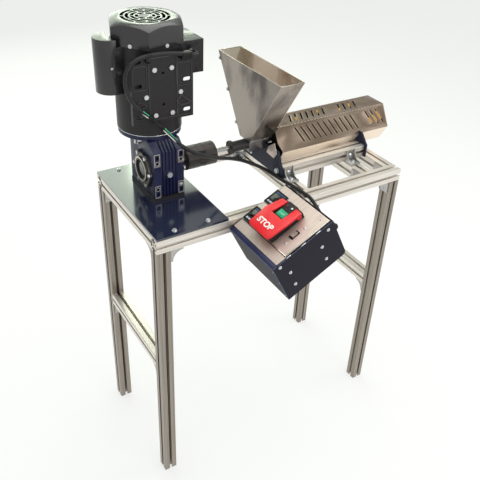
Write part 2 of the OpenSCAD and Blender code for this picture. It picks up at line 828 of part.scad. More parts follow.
module motor_shell() {
  pad_y = foot_face + foot_t;
  place() color("steelblue") difference() {
    union() {
      motor_tube(shell_r, motor_z, shell_l - bell_t);
      for (row = [0.275, 0.5, 0.786])
        block([gear_x - shell_r * 0.66, pad_y, motor_z + shell_l * row - shell_r * 0.12],
              [gear_x + shell_r * 0.66, motor_y - shell_r * 0.7, motor_z + shell_l * row + shell_r * 0.12]);
    }
    motor_tube(shell_r - shell_t, motor_z + front_t, shell_l);
    motor_tube(motor_shaft_r + gap, motor_z - over, front_t + 2 * over);
    translate([0, 0, motor_z - over]) at_flange_bolts() cylinder(r = foot_bolt_r + fit, h = front_t * 0.6 + over);
    at_foot_bolts() cylinder(r = foot_bolt_r + fit, h = foot_t + foot_bolt_in + gap);
  }
}

module motor_stator() {
  place() color("peru")
    ring_z(rotor_z, shell_r - shell_t - fit, rotor_r + air_gap, rotor_l);
}

module motor_end_bell() {
  place() color("steelblue") difference() {
    union() {
      motor_tube(bell_r, motor_top - bell_t, bell_t);
      motor_tube(shell_r - shell_t - fit, motor_top - 2 * bell_t, bell_t + over);
    }
    motor_tube(motor_shaft_r + gap, motor_top - 3 * bell_t, 4 * bell_t);
  }
}

module motor_rotor() {
  shaft_z = axis_z - worm_foot + over;
  place() color("gray") {
    motor_tube(motor_shaft_r, shaft_z, fan_z + fan_t - shaft_z);
    motor_tube(rotor_r, rotor_z, rotor_l);
  }
}

module motor_fan() {
  place() color("black") translate([gear_x, motor_y, fan_z]) difference() {
    union() {
      cylinder(r = fan_r * 0.28, h = fan_t);
      cylinder(r = fan_r, h = fan_t * 0.12);
      for (i = [1 : fan_blades]) rotate(i * 360 / fan_blades)
        block([fan_r * 0.2, -cover_sheet, 0], [fan_r * 0.96, cover_sheet, fan_t]);
    }
    translate([0, 0, -over]) cylinder(r = motor_shaft_r + fit, h = fan_t + 2 * over);
  }
}

// Six sided cover whose corners a cone trims, shrunk inwards by thin
module cover_solid(thin) {
  intersection() {
    rotate(cover_turn) cylinder(r = cover_hex_r - thin / cos(30), h = cover_l - thin, $fn = 6);
    rotate_extrude() polygon([
      [0, 0],
      [cover_hex_r * 1.1, 0],
      [cover_hex_r * 1.1 - thin, cover_l - cover_slope * 1.5 - thin],
      [cover_disc_r - thin, cover_l - thin],
      [0, cover_l - thin]
    ]);
  }
}

module ring_slots() {
  for (i = [0 : ring_count - 1]) difference() {
    circle(ring_first + i * ring_step + ring_slot);
    circle(ring_first + i * ring_step);
    for (turn = [0 : 60 : 120]) rotate(turn + cover_turn + i * 30) square([3 * shell_r, rib_w], center = true);
  }
}

module fan_cover() {
  place() color("midnightblue") translate([gear_x, motor_y, cover_z]) difference() {
    cover_solid(0);
    cover_solid(cover_sheet);
    translate([0, 0, -over]) rotate(cover_turn) cylinder(r = cover_hex_r - cover_sheet / cos(30), h = 2 * over, $fn = 6);
    translate([0, 0, cover_l - 2 * cover_sheet]) linear_extrude(3 * cover_sheet) ring_slots();
  }
}

module foot_plate() {
  left = gear_x - foot_half;
  right = gear_x + foot_half;
  place() color("midnightblue") difference() {
    union() {
      block([left, foot_face, foot_bottom], [right, foot_face + foot_t, foot_top]);
      for (x = [left, right - foot_t])
        block([x, foot_face, foot_bottom], [x + foot_t, foot_face + foot_fold, foot_top]);
    }
    at_foot_bolts() translate([0, 0, -over]) cylinder(r = foot_bolt_r + gap, h = foot_t + 2 * over);
    for (row = [0.386, 0.74]) translate([gear_x, foot_face - over, motor_z + shell_l * row]) rotate([-90, 0, 0])
      cylinder(r = foot_bolt_r, h = foot_t + 2 * over);
    for (side = [-1, 1]) for (row = [0.28, 0.63, 0.89])
      translate([gear_x + side * foot_half * 0.79, foot_face - over, motor_z + shell_l * row])
        rotate([-90, 0, 0]) linear_extrude(foot_t + 2 * over) slot_shape(shell_r * 0.13, shell_r * 0.06);
  }
}

module slot_shape(length, r) {
  square([length, 2 * r], center = true);
  for (side = [-1, 1]) translate([side * length / 2, 0]) circle(r);
}

module motor_bolts() {
  cover_screw = foot_bolt_r * 0.8;
  place() color("silver") {
    at_foot_bolts() {
      cylinder(r = foot_bolt_r, h = foot_t + foot_bolt_in);
      mirror([0, 0, 1]) cylinder(r = foot_bolt_r * 1.7, h = foot_bolt_r, $fn = 6);
    }
    translate([0, 0, shoulder_z]) at_flange_bolts() {
      cylinder(r = foot_bolt_r, h = flange_t + front_t * 0.5);
      mirror([0, 0, 1]) cylinder(r = foot_bolt_r * 1.8, h = foot_bolt_r * 1.2, $fn = 6);
    }
    for (turn = [0 : 60 : 300]) translate([gear_x, motor_y, cover_z + bell_t * 0.4])
      rotate(turn + cover_turn + 30) translate([cover_flat, 0, 0]) rotate([0, 90, 0])
      cylinder(r = cover_screw * 1.6, h = cover_screw * 0.7);
  }
}

module cap_solid(thin) {
  x = gear_x - cap_out + cap_r;
  translate([x, motor_y, cap_bottom + thin]) cylinder(r = cap_r - thin, h = cap_top - cap_bottom - 2 * thin);
  block([x, motor_y - cap_r + thin, cap_bottom + thin], [gear_x - shell_r * 0.8, motor_y + cap_r - thin, cap_top - thin]);
}

module capacitor_cover() {
  place() color("midnightblue") difference() {
    cap_solid(0);
    difference() {
      cap_solid(cap_t);
      motor_tube(cover_hex_r + gap + cap_t, cover_z - gap - cap_t, cover_l);
    }
    motor_tube(shell_r + fit, motor_z, 2 * shell_l);
    motor_tube(cover_hex_r + gap, cover_z - gap, cover_l);
  }
}

module conduit_half(front, back) {
  difference() {
    block([gear_x + conduit_in, front, conduit_bottom], [gear_x + conduit_out, back, conduit_top]);
    block([gear_x, conduit_front + conduit_t, conduit_bottom + conduit_t],
          [gear_x + conduit_out - conduit_t, conduit_back - conduit_t, conduit_top - conduit_t]);
    motor_tube(shell_r + fit, motor_z, 2 * shell_l);
  }
}

module conduit_box() {
  place() color("midnightblue") conduit_half(conduit_seam, conduit_back);
}

module conduit_lid() {
  place() color("midnightblue") difference() {
    conduit_half(conduit_front, conduit_seam);
    translate([exit_x, conduit_front - over, exit_z]) rotate([-90, 0, 0])
      cylinder(r = cord_r + gap, h = conduit_t + 2 * over);
  }
}

// Coupling

module wedge(r, angle) {
  intersection() {
    circle(r);
    polygon([[0, 0], 2 * r * [cos(angle / 2), -sin(angle / 2)], 2 * r * [cos(angle / 2), sin(angle / 2)]]);
  }
}

module jaws(first) {
  for (i = [0 : 2]) rotate(first + i * 120) difference() {
    wedge(hub_r - gap, jaw_angle);
    circle(jaw_in);
  }
}

module hub_drive() {
  place() color("dimgray") along_x(coupling_x, axis_y, axis_z) difference() {
    union() {
      cylinder(r = hub_r, h = hub_l);
      translate([0, 0, hub_l - over]) linear_extrude(jaw_gap + over - gap) jaws(jaw_turn);
    }
    translate([0, 0, -over]) cylinder(r = out_r + fit, h = hub_l + over);
  }
}

module hub_screw() {
  place() color("dimgray") along_x(hub_x, axis_y, axis_z) difference() {
    union() {
      cylinder(r = hub_r, h = hub_l);
      translate([0, 0, gap - jaw_gap]) linear_extrude(jaw_gap + over - gap) jaws(jaw_turn + 60);
    }
    translate([0, 0, -over]) cylinder(r = shank_r + fit, h = hub_l + 2 * over);
  }
}

module hub_spider() {
  place() color("black") along_x(jaw_x + gap, axis_y, axis_z) linear_extrude(jaw_gap - 2 * gap) difference() {
    union() {
      circle(jaw_in - gap);
      for (i = [0 : 5]) rotate(jaw_turn + 30 + i * 60) wedge(hub_r - gap, leg_angle);
    }
    circle(jaw_in * 0.55);
  }
}

// Screw, barrel and feed

module bearing_tube() {
  place() color("dimgray") along_x(thrust_x, axis_y, axis_z) difference() {
    union() {
      cylinder(r = thrust_r, h = thrust_t);
      cylinder(r = tube_r, h = throat_x - thrust_x);
    }
    translate([0, 0, -over]) cylinder(r = shank_r + fit, h = throat_x - thrust_x + 2 * over);
  }
}

flight_angles = [-150, -110, -70, -24, 0, 24, 70, 110, 150];
screw_turns = (screw_end - throat_x - over) / screw_pitch;

module extruder_screw() {
  place() color("silver") {
    along_x(hub_x + over, axis_y, axis_z) cylinder(r = shank_r, h = throat_x - hub_x + over);
    along_x(throat_x + over, axis_y, axis_z)
      linear_extrude(screw_end - throat_x - over, twist = -360 * screw_turns,
                     slices = round(screw_turns * slices_per_turn), $fn = 9)
      polygon([for (a = flight_angles) (abs(a) < 50 ? screw_r : root_r) * [cos(a), sin(a)]]);
  }
}

module feed_port() {
  block([port_x, axis_y - port_half, axis_z], [port_x + port_l, axis_y + port_half, hopper_z + over]);
}

module barrel() {
  place() color("silver") difference() {
    along_x(throat_x, axis_y, axis_z) cylinder(r = barrel_r, h = barrel_end - throat_x);
    along_x(throat_x - over, axis_y, axis_z) cylinder(r = bore_r, h = barrel_end);
    feed_port();
  }
}

module feed_throat() {
  place() color("gray") difference() {
    union() {
      block([throat_x, axis_y - throat_y, axis_z - throat_z], [feed_plate_x, axis_y + throat_y, hopper_z]);
      block([hopper_x, axis_y - cap_plate_half, hopper_z - cap_plate_t],
            [hopper_x + hopper_l, axis_y + cap_plate_half, hopper_z]);
    }
    along_x(hopper_x - over, axis_y, axis_z) cylinder(r = barrel_r + fit, h = hopper_l + 2 * over);
    feed_port();
  }
}

module hopper_section(thin) {
  polygon([
    [-cap_plate_half + thin, 0],
    [cap_plate_half - thin, 0],
    [hopper_half - thin, hopper_top - throat_z],
    [thin - hopper_half, hopper_top - throat_z]
  ]);
}

module hopper() {
  slope_x = hopper_half - cap_plate_half;
  slope_z = hopper_top - throat_z;
  tab = hopper_t * 6;
  place() color("gainsboro") translate([hopper_x, axis_y, hopper_z]) {
    difference() {
      rotate([90, 0, 90]) linear_extrude(hopper_l) hopper_section(0);
      translate([hopper_t, 0, 0]) rotate([90, 0, 90]) linear_extrude(hopper_l - 2 * hopper_t)
        hopper_section(hopper_t * 1.2);
      block([hopper_t, hopper_t * 1.2 - hopper_half, slope_z - over],
            [hopper_l - hopper_t, hopper_half - hopper_t * 1.2, slope_z + over]);
      block([hopper_t, hopper_t * 1.2 - cap_plate_half, -over],
            [hopper_l - hopper_t, cap_plate_half - hopper_t * 1.2, over]);
    }
    for (share = [0.16, 0.55, 0.92])
      block([0, cap_plate_half + slope_x * share - tab / 2, slope_z * share - tab],
            [hopper_t, cap_plate_half + slope_x * share + tab * 0.8, slope_z * share]);
  }
}

// Barrel supports

module plate_x(x, thick) {
  translate([x, axis_y, 0]) rotate([90, 0, 90]) linear_extrude(thick) children();
}

module feed_plate() {
  foot = rail_gap + profile * 1.13;
  head = rail_gap + profile * 0.4;
  place() color("midnightblue") difference() {
    plate_x(feed_plate_x, end_plate_t) polygon([
      [-foot, feed_plate_z], [foot, feed_plate_z], [foot, rail_mid_z],
      [head, feed_plate_top], [-head, feed_plate_top], [-foot, rail_mid_z]
    ]);
    along_x(feed_plate_x - over, axis_y, axis_z) cylinder(r = barrel_r + fit, h = end_plate_t + 2 * over);
    at_rail_ends(feed_plate_x - over) rotate([0, 90, 0]) cylinder(r = core_r + gap, h = end_plate_t + 2 * over);
  }
}

module at_rail_ends(x) {
  for (y = [rail_front_y + half, rail_back_y + half]) translate([x, y, rail_mid_z]) children();
}

module hood_outline(grow) {
  wide = hood_side + grow * 1.15;
  polygon([
    [-hood_low_half - grow, hood_bottom - grow],
    [hood_low_half + grow, hood_bottom - grow],
    [wide, hood_mid],
    [hood_side / 2 + grow * 0.6, hood_top + grow],
    [-hood_side / 2 - grow * 0.6, hood_top + grow],
    [-wide, hood_mid]
  ]);
}

module nozzle_plate() {
  foot = rail_gap + profile * 1.21;
  head = rail_gap + profile * 0.45;
  plate_head = hood_mid + profile * 0.2;
  place() color("midnightblue") difference() {
    plate_x(rail_end, end_plate_t) polygon([
      [-foot, feed_plate_z], [foot, feed_plate_z], [foot, frame_h + profile * 1.08],
      [head, plate_head], [-head, plate_head], [-foot, frame_h + profile * 1.08]
    ]);
    plate_x(rail_end - over, end_plate_t + 2 * over) hood_outline(gap);
    at_rail_ends(rail_end - over) rotate([0, 90, 0]) cylinder(r = core_r + gap, h = end_plate_t + 2 * over);
  }
}

module heater_bands() {
  place() color("darkgoldenrod") for (x = band_x) difference() {
    ring_x(x, axis_y, axis_z, band_r, barrel_r + fit, band_l);
    block([x - over, axis_y - hood_slot_w / 2, axis_z + barrel_r * 0.9],
          [x + band_l + over, axis_y + hood_slot_w / 2, axis_z + band_r + over]);
  }
}

module nozzle() {
  place() color("silver") along_x(barrel_end, axis_y, axis_z) difference() {
    union() {
      cylinder(r = nozzle_r, h = hood_end - barrel_end - barrel_r * 0.4);
      cylinder(r = nozzle_r * 0.6, h = nozzle_out - barrel_end);
    }
    translate([0, 0, -over]) cylinder(r = screw_r * 0.25, h = nozzle_out);
  }
}

// Hood

// Slanted slots in a face whose far edge runs along X at y = 0
module slot_row(places) {
  for (i = places) {
    x = slot_first + i * slot_pitch;
    linear_extrude(6 * hood_t, center = true) polygon([
      [x, slot_from], [x + hood_slot_w, slot_from],
      [x + hood_slot_w + slot_lean, slot_to], [x + slot_lean, slot_to]
    ]);
  }
}

module hood_sheet() {
  difference() {
    plate_x(hood_x, hood_end - hood_x) hood_outline(0);
    plate_x(hood_x - over, hood_end - hood_x + 2 * over) hood_outline(-hood_t);
    block([hood_x - over, axis_y - hood_low_half + hood_lip, hood_bottom - over],
          [hood_end + over, axis_y + hood_low_half - hood_lip, hood_bottom + 2 * hood_t]);
  }
}

module heat_hood() {
  place() color("tan") difference() {
    union() {
      hood_sheet();
      difference() {
        plate_x(hood_end - hood_t, hood_t) hood_outline(0);
        along_x(hood_end - 2 * hood_t, axis_y, axis_z) cylinder(r = nozzle_r * 0.6 + gap, h = 3 * hood_t);
      }
    }
    for (flip = [0, 1]) translate([0, 2 * axis_y * flip, 0]) mirror([0, flip, 0])
      translate([0, axis_y - hood_side / 2, hood_top]) rotate([240, 0, 0]) slot_row(front_slots);
    translate([0, axis_y - hood_side * 0.45, hood_top]) slot_row(top_slots);
    translate([0, axis_y + 2 * hood_side, 0]) rotate([90, 0, 0]) linear_extrude(4 * hood_side) {
      polygon([
        [hood_x - over, hood_top + over], [hood_x + hood_side * 0.34, hood_top + over],
        [hood_x, hood_top - hood_side * 0.13], [hood_x - over, hood_top - hood_side * 0.13]
      ]);
      polygon([
        [hood_x - over, hood_mid + hood_side * 0.35], [hood_x, hood_mid + hood_side * 0.35],
        [hood_x + hood_side * 0.15, hood_mid], [hood_x + hood_side * 0.2, hood_bottom - over],
        [hood_x - over, hood_bottom - over]
      ]);
    }
  }
}

// Control box. Its own frame has x up the slope, -y towards the operator and
// z square to the panel. Places on the panel are given by u along x and by v
// from the back.
module box_frame() {
  place() translate([box_x, 0, box_z]) rotate([0, -box_tilt, 0]) children();
}

module uv_block(u, v, low, size) {
  translate([u, -v - size[1], low]) cube(size);
}

module control_box() {
  inner_v = side_t + gap;
  wide = box_w - 2 * inner_v;
  color("darkslategray") box_frame() {
    uv_block(0, inner_v, -box_d, [box_t, wide, box_d]);
    uv_block(box_l - box_t, inner_v, -box_d, [box_t, wide, box_d]);
    uv_block(0, inner_v, -box_d, [box_l, wide, box_t]);
    uv_block(0, inner_v, -box_t, [panel_in, wide, box_t]);
  }
}

module at_side_screws() {
  for (spot = side_screws) translate([spot[0] * box_l, -box_w, -spot[1] * box_d]) children();
}

// Outline of a side plate, with a round lower corner at the upper end
module side_face() {
  difference() {
    translate([0, -box_d]) square([box_l, box_d]);
    translate([box_l - corner_round, corner_round - box_d]) difference() {
      translate([0, -2 * corner_round]) square(2 * corner_round);
      circle(corner_round);
    }
  }
}

module control_sides() {
  color("midnightblue") box_frame() {
    difference() {
      for (v = [side_t, box_w]) translate([0, -v, 0]) rotate([90, 0, 0]) mirror([0, 0, 1])
        linear_extrude(side_t) side_face();
      at_side_screws() translate([0, -over, 0]) rotate([-90, 0, 0])
        cylinder(r = side_screw_r + fit, h = side_t + 2 * over);
      for (u = [0.35, 0.82]) translate([u * box_l, over, 0]) rotate([90, 0, 0])
        cylinder(r = bolt_r, h = side_t + 2 * over);
    }
  }
}

module control_screws() {
  color("silver") box_frame() at_side_screws() {
    rotate([-90, 0, 0]) cylinder(r = side_screw_r, h = side_t + gap);
    rotate([90, 0, 0]) cylinder(r1 = side_screw_head, r2 = side_screw_head * 0.6, h = side_screw_head / 2);
  }
}

module panel_holes() {
  for (u = dial_u) uv_block(u + (dial - dial_body) / 2 - gap, dial_v + (dial - dial_body) / 2 - gap, -over,
                            [dial_body + 2 * gap, dial_body + 2 * gap, panel_top + 2 * over]);
  uv_block(base_u + side_t, base_v + side_t, -over, [base_l - 2 * side_t, base_w - 2 * side_t, panel_top + 2 * over]);
  uv_block(rocker_u - rocker_l / 2, rocker_v - rocker_w / 2, -over, [rocker_l, rocker_w, panel_top + 2 * over]);
}

module control_panel() {
  inner_v = side_t + gap;
  color("tan") box_frame() difference() {
    union() {
      uv_block(panel_in, inner_v, 0, [panel_end - panel_in, box_w - 2 * inner_v, panel_t]);
      uv_block(plate_from, edge_v, 0, [panel_end - plate_from, box_w - 2 * edge_v, panel_top]);
    }
    panel_holes();
  }
}

module controllers() {
  color("black") box_frame() for (u = dial_u) {
    difference() {
      uv_block(u, dial_v, panel_top, [dial, dial, dial_lip]);
      uv_block(u + dial * 0.1, dial_v + dial * 0.1, panel_top + dial_lip * 0.7, [dial * 0.8, dial * 0.8, dial_lip]);
    }
    uv_block(u + (dial - dial_body) / 2, dial_v + (dial - dial_body) / 2, panel_top - dial_depth,
             [dial_body, dial_body, dial_depth]);
  }
}

module pin_hole(v, r, length) {
  translate([pin_u, -v, panel_top + pin_h]) rotate([90, 0, 0]) cylinder(r = r, h = length);
}

module switch_base() {
  island_u = arm_u + gap;
  color("dimgray") box_frame() difference() {
    union() {
      uv_block(base_u, base_v, panel_top, [base_l, base_w, base_h]);
      uv_block(island_u, base_mid - island_w / 2, panel_top + base_h - over,
               [base_u + base_l - island_u, island_w, island_h + over]);
    }
    pin_hole(base_v - over, pin_r + fit, pin_l + over + gap);
    pin_hole(base_v + base_w - pin_l - gap, pin_r + fit, pin_l + over + gap);
    uv_block(button_u - gap, base_mid - button_w / 2 - gap,
             panel_top + base_h + island_h + button_up - button_h - button_travel,
             [button_l + 2 * gap, button_w + 2 * gap, button_h + button_travel]);
  }
}

// Outline of the paddle from above: x up the slope, y across from its middle
module paddle_face() {
  low = paddle_low_w / 2 - paddle_round;
  mid = paddle_mid_w / 2;
  tip = paddle_tip_w / 2;
  tip_round = paddle_round * 0.6;
  end = paddle_u + paddle_l;
  difference() {
    union() {
      for (side = [-1, 1]) {
        translate([paddle_u + paddle_round, side * low]) circle(paddle_round);
        translate([end - tip_round, side * (tip - tip_round)]) circle(tip_round);
      }
      polygon([
        [paddle_u, -low], [paddle_u + paddle_round, -low - paddle_round], [arm_u, -mid],
        [end - tip_round, -tip], [end, tip_round - tip], [end, tip - tip_round],
        [end - tip_round, tip], [arm_u, mid], [paddle_u + paddle_round, low + paddle_round],
        [paddle_u, low]
      ]);
    }
    polygon([
      [arm_u, -arm_room / 2], [end + over, -arm_tip_room / 2],
      [end + over, arm_tip_room / 2], [arm_u, arm_room / 2]
    ]);
  }
}

// The paddle falls towards its arms' tips, and an ear under each arm holds
// the pin that it turns on
module stop_paddle() {
  low = panel_top + pin_h;
  top = panel_top + paddle_h;
  end = paddle_u + paddle_l;
  under = top - paddle_t;
  color("crimson") box_frame() {
    intersection() {
      translate([0, -base_mid, low]) linear_extrude(paddle_h) paddle_face();
      translate([0, paddle_mid_w - base_mid, 0]) rotate([90, 0, 0]) linear_extrude(2 * paddle_mid_w) polygon([
        [paddle_u, top - paddle_t * 0.2], [paddle_u + paddle_round, top], [arm_u, top],
        [end, top - paddle_drop], [end, under - paddle_drop], [arm_u, under], [paddle_u, under]
      ]);
    }
    for (v = [base_v - gap - ear_t, base_v + base_w + gap]) {
      uv_block(pin_u - ear_l / 2, v, low, [ear_l, ear_t, paddle_h - pin_h - paddle_t * 1.2]);
      translate([pin_u, -v, low]) rotate([90, 0, 0]) cylinder(r = ear_l / 2, h = ear_t);
    }
    pin_hole(base_v - gap - over, pin_r, pin_l + gap + over);
    pin_hole(base_v + base_w - pin_l, pin_r, pin_l + gap + over);
  }
}

module start_button() {
  color("green") box_frame()
    uv_block(button_u, base_mid - button_w / 2, panel_top + base_h + island_h + button_up - button_h + gap,
             [button_l, button_w, button_h]);
}

module rocker_switch() {
  reach = rocker_l * 0.38;
  color("black") box_frame() translate([rocker_u, -rocker_v, panel_top + rocker_h * 0.4])
    rotate([90, 0, 0]) {
      linear_extrude(rocker_w - mouth, center = true) polygon([
        [-reach, rocker_h * 0.9 + reach * sin(swing)], [0, rocker_h * 0.6], [reach, rocker_h * 0.9],
        [reach * 0.9, -rocker_h * 0.8], [0, -rocker_h * 1.4], [-reach * 0.9, -rocker_h * 0.8]
      ]);
      cylinder(r = rocker_pin_r, h = rocker_w - 2 * gap, center = true);
    }
}

// Lead. Rings stand square to the route at its points, and each ring's
// sideways direction is carried along from the ring before.
function unit(v) = v / norm(v);
function heading(i) = i == 0 || i == len(cord_points) - 1
  ? [0, -1, 0]
  : unit(cord_points[i + 1] - cord_points[i - 1]);
function across(i) = i == 0
  ? unit(cross(heading(0), [0, 0, 1]))
  : let (side = across(i - 1), h = heading(i)) unit(side - h * (side * h));
function ring(i) = let (a = across(i), b = cross(heading(i), a))
  [for (k = [0 : cord_sides - 1])
    let (turn = 360 * k / cord_sides) cord_points[i] + cord_r * (cos(turn) * a + sin(turn) * b)];

module power_cable() {
  last = len(cord_points) - 1;
  points = [for (i = [0 : last]) each ring(i)];
  walls = [for (i = [0 : last - 1]) for (k = [0 : cord_sides - 1])
    let (n = (k + 1) % cord_sides, a = i * cord_sides, b = a + cord_sides) [a + k, a + n, b + n, b + k]];
  start = [for (k = [0 : cord_sides - 1]) cord_sides - 1 - k];
  finish = [for (k = [0 : cord_sides - 1]) last * cord_sides + k];
  place() color("black") polyhedron(points, concat([start], walls, [finish]));
}

// Cone from point a to point b
module cone_between(a, b, r1, r2) {
  d = b - a;
  translate(a) rotate([0, acos(d[2] / norm(d)), atan2(d[1], d[0])]) cylinder(r1 = r1, r2 = r2, h = norm(d));
}

module cable_fittings() {
  place() color("gray") {
    cone_between([exit_x, conduit_front, exit_z], cord_start, relief_thick, relief_thin);
    translate(elbow) {
      rotate([-90, 0, 0]) rotate([0, 0, 45]) sphere(gland_r * 1.25);
      rotate([-90, 0, 0]) cylinder(r1 = gland_r, r2 = relief_thin, h = gland_r + relief_l);
      rotate([0, 90 - box_tilt, 0]) mirror([0, 0, 1]) cylinder(r = gland_r, h = gland_out);
      rotate([0, 90 - box_tilt, 0]) translate([0, 0, -gland_out])
        cylinder(r = gland_r * 1.35, h = gland_out * 0.3, $fn = 6);
    }
  }
}

leg_front_left();
leg_front_right();
leg_back_left();
leg_back_right();
rail_front();
rail_back();
cross_rail_drive();
cross_rail_feed();
cross_rail_nozzle();
cross_rail_end();
leg_braces();
barrel_rails();
corner_brackets();
bracket_bolts();
drive_plate();
plate_bolts();
gearbox_block();
gearbox_housing();
gearbox_covers();
gearbox_bolts();
gearbox_bearings();
worm();
worm_wheel();
output_shaft();
input_flange();
motor_shell();
motor_stator();
motor_end_bell();
motor_rotor();
motor_fan();
fan_cover();
foot_plate();
motor_bolts();
capacitor_cover();
conduit_box();
conduit_lid();
hub_drive();
hub_spider();
hub_screw();
bearing_tube();
extruder_screw();
barrel();
feed_throat();
hopper();
feed_plate();
nozzle_plate();
heater_bands();
nozzle();
heat_hood();
control_box();
control_sides();
control_screws();
control_panel();
controllers();
switch_base();
stop_paddle();
start_button();
rocker_switch();
cable_fittings();
power_cable();
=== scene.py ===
import math

import bpy
from mathutils import Matrix, Vector


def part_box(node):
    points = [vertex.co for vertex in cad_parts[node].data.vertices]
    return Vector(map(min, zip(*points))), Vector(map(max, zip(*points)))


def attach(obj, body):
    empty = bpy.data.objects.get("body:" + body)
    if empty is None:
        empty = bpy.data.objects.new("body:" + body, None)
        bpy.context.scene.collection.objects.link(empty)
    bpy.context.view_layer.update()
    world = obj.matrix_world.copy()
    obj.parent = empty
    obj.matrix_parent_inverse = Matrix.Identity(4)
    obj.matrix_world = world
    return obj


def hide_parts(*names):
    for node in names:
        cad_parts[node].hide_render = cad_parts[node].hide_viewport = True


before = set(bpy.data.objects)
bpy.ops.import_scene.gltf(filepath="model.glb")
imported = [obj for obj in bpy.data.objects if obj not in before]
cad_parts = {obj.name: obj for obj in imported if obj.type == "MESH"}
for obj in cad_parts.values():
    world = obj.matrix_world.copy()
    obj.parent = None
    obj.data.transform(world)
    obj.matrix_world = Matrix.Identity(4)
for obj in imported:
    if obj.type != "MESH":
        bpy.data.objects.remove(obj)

bl_info = {
    "name": "Screw extruder dressing",
    "version": (1, 0, 0),
    "blender": (4, 5, 0),
    "location": "3D View > Sidebar > Extruder",
    "description": "Gives the packed screw extruder its finishes, small pieces, lead and studio",
    "category": "Object",
}

# Places. BENCH takes millimetres from the outer foot corner of the front left leg.
# PANEL takes millimetres along the control box's slope, towards its back and out of its panel.
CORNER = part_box("leg_front_left")[0]
BENCH = Matrix.Translation(CORNER) @ Matrix.Scale(0.001, 4)
BOX_TILT = 27
BOX_CORNER = Vector((205.3, 0, 856.5))
PANEL = BENCH @ Matrix.Translation(BOX_CORNER) @ Matrix.Rotation(math.radians(-BOX_TILT), 4, "Y")

# Heights above the control box's top edge
PANEL_TOP = 4
DIAL_TOP = 7.84
PADDLE_TOP = 38.45
ISLAND_TOP = 28.96
BUTTON_TOP = 31.0

# Where the controllers and the rocker are on the panel: up its slope, and out from the bench
DIAL_U = (45.93, 116.96)
DIAL_V = 4.04
ROCKER = (100.36, 161.6)

# Axes and planes of the machine, in BENCH millimetres
SCREW_Y = 222
SCREW_Z = 960.9
MOTOR_X = 116
MOTOR_Y = 272
MOTOR_R = 84
PAD_FACE = 160.23
FOOT_FACE = 182.96
FEED_PLATE_X = 447
REGISTER_Z = 1062
CAPACITOR_FACE = MOTOR_Y - 36.96
GEARBOX_COVER_X = 61.72
SEAL_FACE_X = 66.55
BEARING_FACE_X = 334.975
LAP_X = 782
HOPPER_MIDDLE = Vector((422.5, SCREW_Y, 1085))
FIN_PITCH = 9.46
FIN_GROOVE = 1.93

# Angles in degrees: edges that are sharper than the first are rounded, faces that meet under the
# second are shaded as one, and a CAD mesh's faces under the third become one. Its points closer
# than MERGE metres do too
EDGE_ANGLE = 35
SMOOTH_ANGLE = 30
FLAT_ANGLE = 2
MERGE = 0.00002

# Turns a shape drawn in Y and Z, with its thickness along Z, so that its thickness runs along X
ACROSS = Matrix(((0, 0, 1, 0), (1, 0, 0, 0), (0, 1, 0, 0), (0, 0, 0, 1)))

# The studio: the share of the paper's own glow that the camera, mirrors and glass see, the point that
# every lamp faces, and each lamp's name, place and size in metres, watts and tint
FLOOR_GLOW = 0.68
LAMP_TARGET = Vector((0, 0, 0.9))
LAMPS = (
    ("overhead", (0.3, 0.1, 3.0), 2.4, 44),
    ("back_soft", (-0.2, 3.5, 2.3), 2.6, 48, (0.87, 1.0, 0.82)),
    ("cover_sheen", (1.29, 3.16, 2.31), 0.9, 11, (0.87, 1.0, 0.8)),
    ("front_fill", (0.7, -3.2, 1.9), 1.8, 22),
    ("side_fill", (2.8, -0.8, 1.5), 1.4, 12),
)

# Looks that several pieces share: a finish, and the name of the material that it stands for
ZINC = ("bright_zinc_plate", "zinc_fasteners")
NYLON = ("moulded_black_nylon", "black_nylon")
OXIDE = ("black_oxide_steel", "oxide_steel")
COVER = ("black_cover_enamel", "motor_paint")
MOTOR = ("black_motor_enamel", "motor_paint")

# The hood's slots, as in the part's source
HOOD_SIDE = 73.5
HOOD_TOP = 1009.85
HOOD_LEAN = 22.05
SLOT_FROM = 11.76
SLOT_TO = 54.39
SLOT_HALF = 2.8
# Where the first slot begins and how far apart they are, as shares of the hood's length
SLOT_START = 0.163
SLOT_PITCH = 0.0495
# How far a slot's middle is from its place, as a share of that pitch
SLOT_OFFSET = 0.0825
FRONT_SLOTS = (0, 1, 2, 3, 4, 5, 6, 7, 8, 9, 10, 13, 14, 15)
TOP_SLOTS = (0, 1, 2, 3, 4, 5, 6, 9, 10, 11, 12)

# The lead's route, as in the part's source
ROUTE = [
    (215.12, 204.96, 1261.61),
    (210, 187, 1263), (197, 175, 1266), (180, 170, 1270), (156, 170, 1275), (130, 170, 1279),
    (78, 170, 1281), (54, 170, 1278), (34, 170, 1269), (20, 170, 1254), (14, 170, 1234),
    (15, 170, 1210), (23, 170, 1184), (39, 170, 1159), (60, 169, 1137), (83, 168, 1115),
    (106, 164, 1091), (128, 157, 1064), (152, 151, 1038), (179, 149, 1017), (208, 150, 1000),
    (239, 155, 985), (271, 164, 970), (303, 176, 956), (334, 187, 941), (363, 194, 926),
    (391, 193, 911), (414, 185, 899), (431, 170, 890), (438, 150, 886), (444, 97, 886),
    (449, 70, 886), (453, 42, 886), (455, 14, 886), (455, -12, 886), (452, -37, 882),
    (447, -62, 876), (443, -86, 871), (442, -99, 870), (441.78, -111, 870.37),
]
# Where the lead's jacket is stripped back, with the black splice between
STRIPPED = {14: 0.55, 15: 0.5, 16: 0.5, 17: 0.5}
CORD_RADIUS = 5.2
# Front of the conduit box, and the elbow of the control box's gland with its reach
CONDUIT_FRONT = 224.96
ELBOW = (441.78, -140, 870.37)
GLAND_OUT = 24


def linear(code):
    """Turns an sRGB hex code into Blender's linear colour."""
    parts = [int(code[i:i + 2], 16) / 255 for i in (1, 3, 5)]
    return (*(c / 12.92 if c <= 0.04045 else ((c + 0.055) / 1.055) ** 2.4 for c in parts), 1)


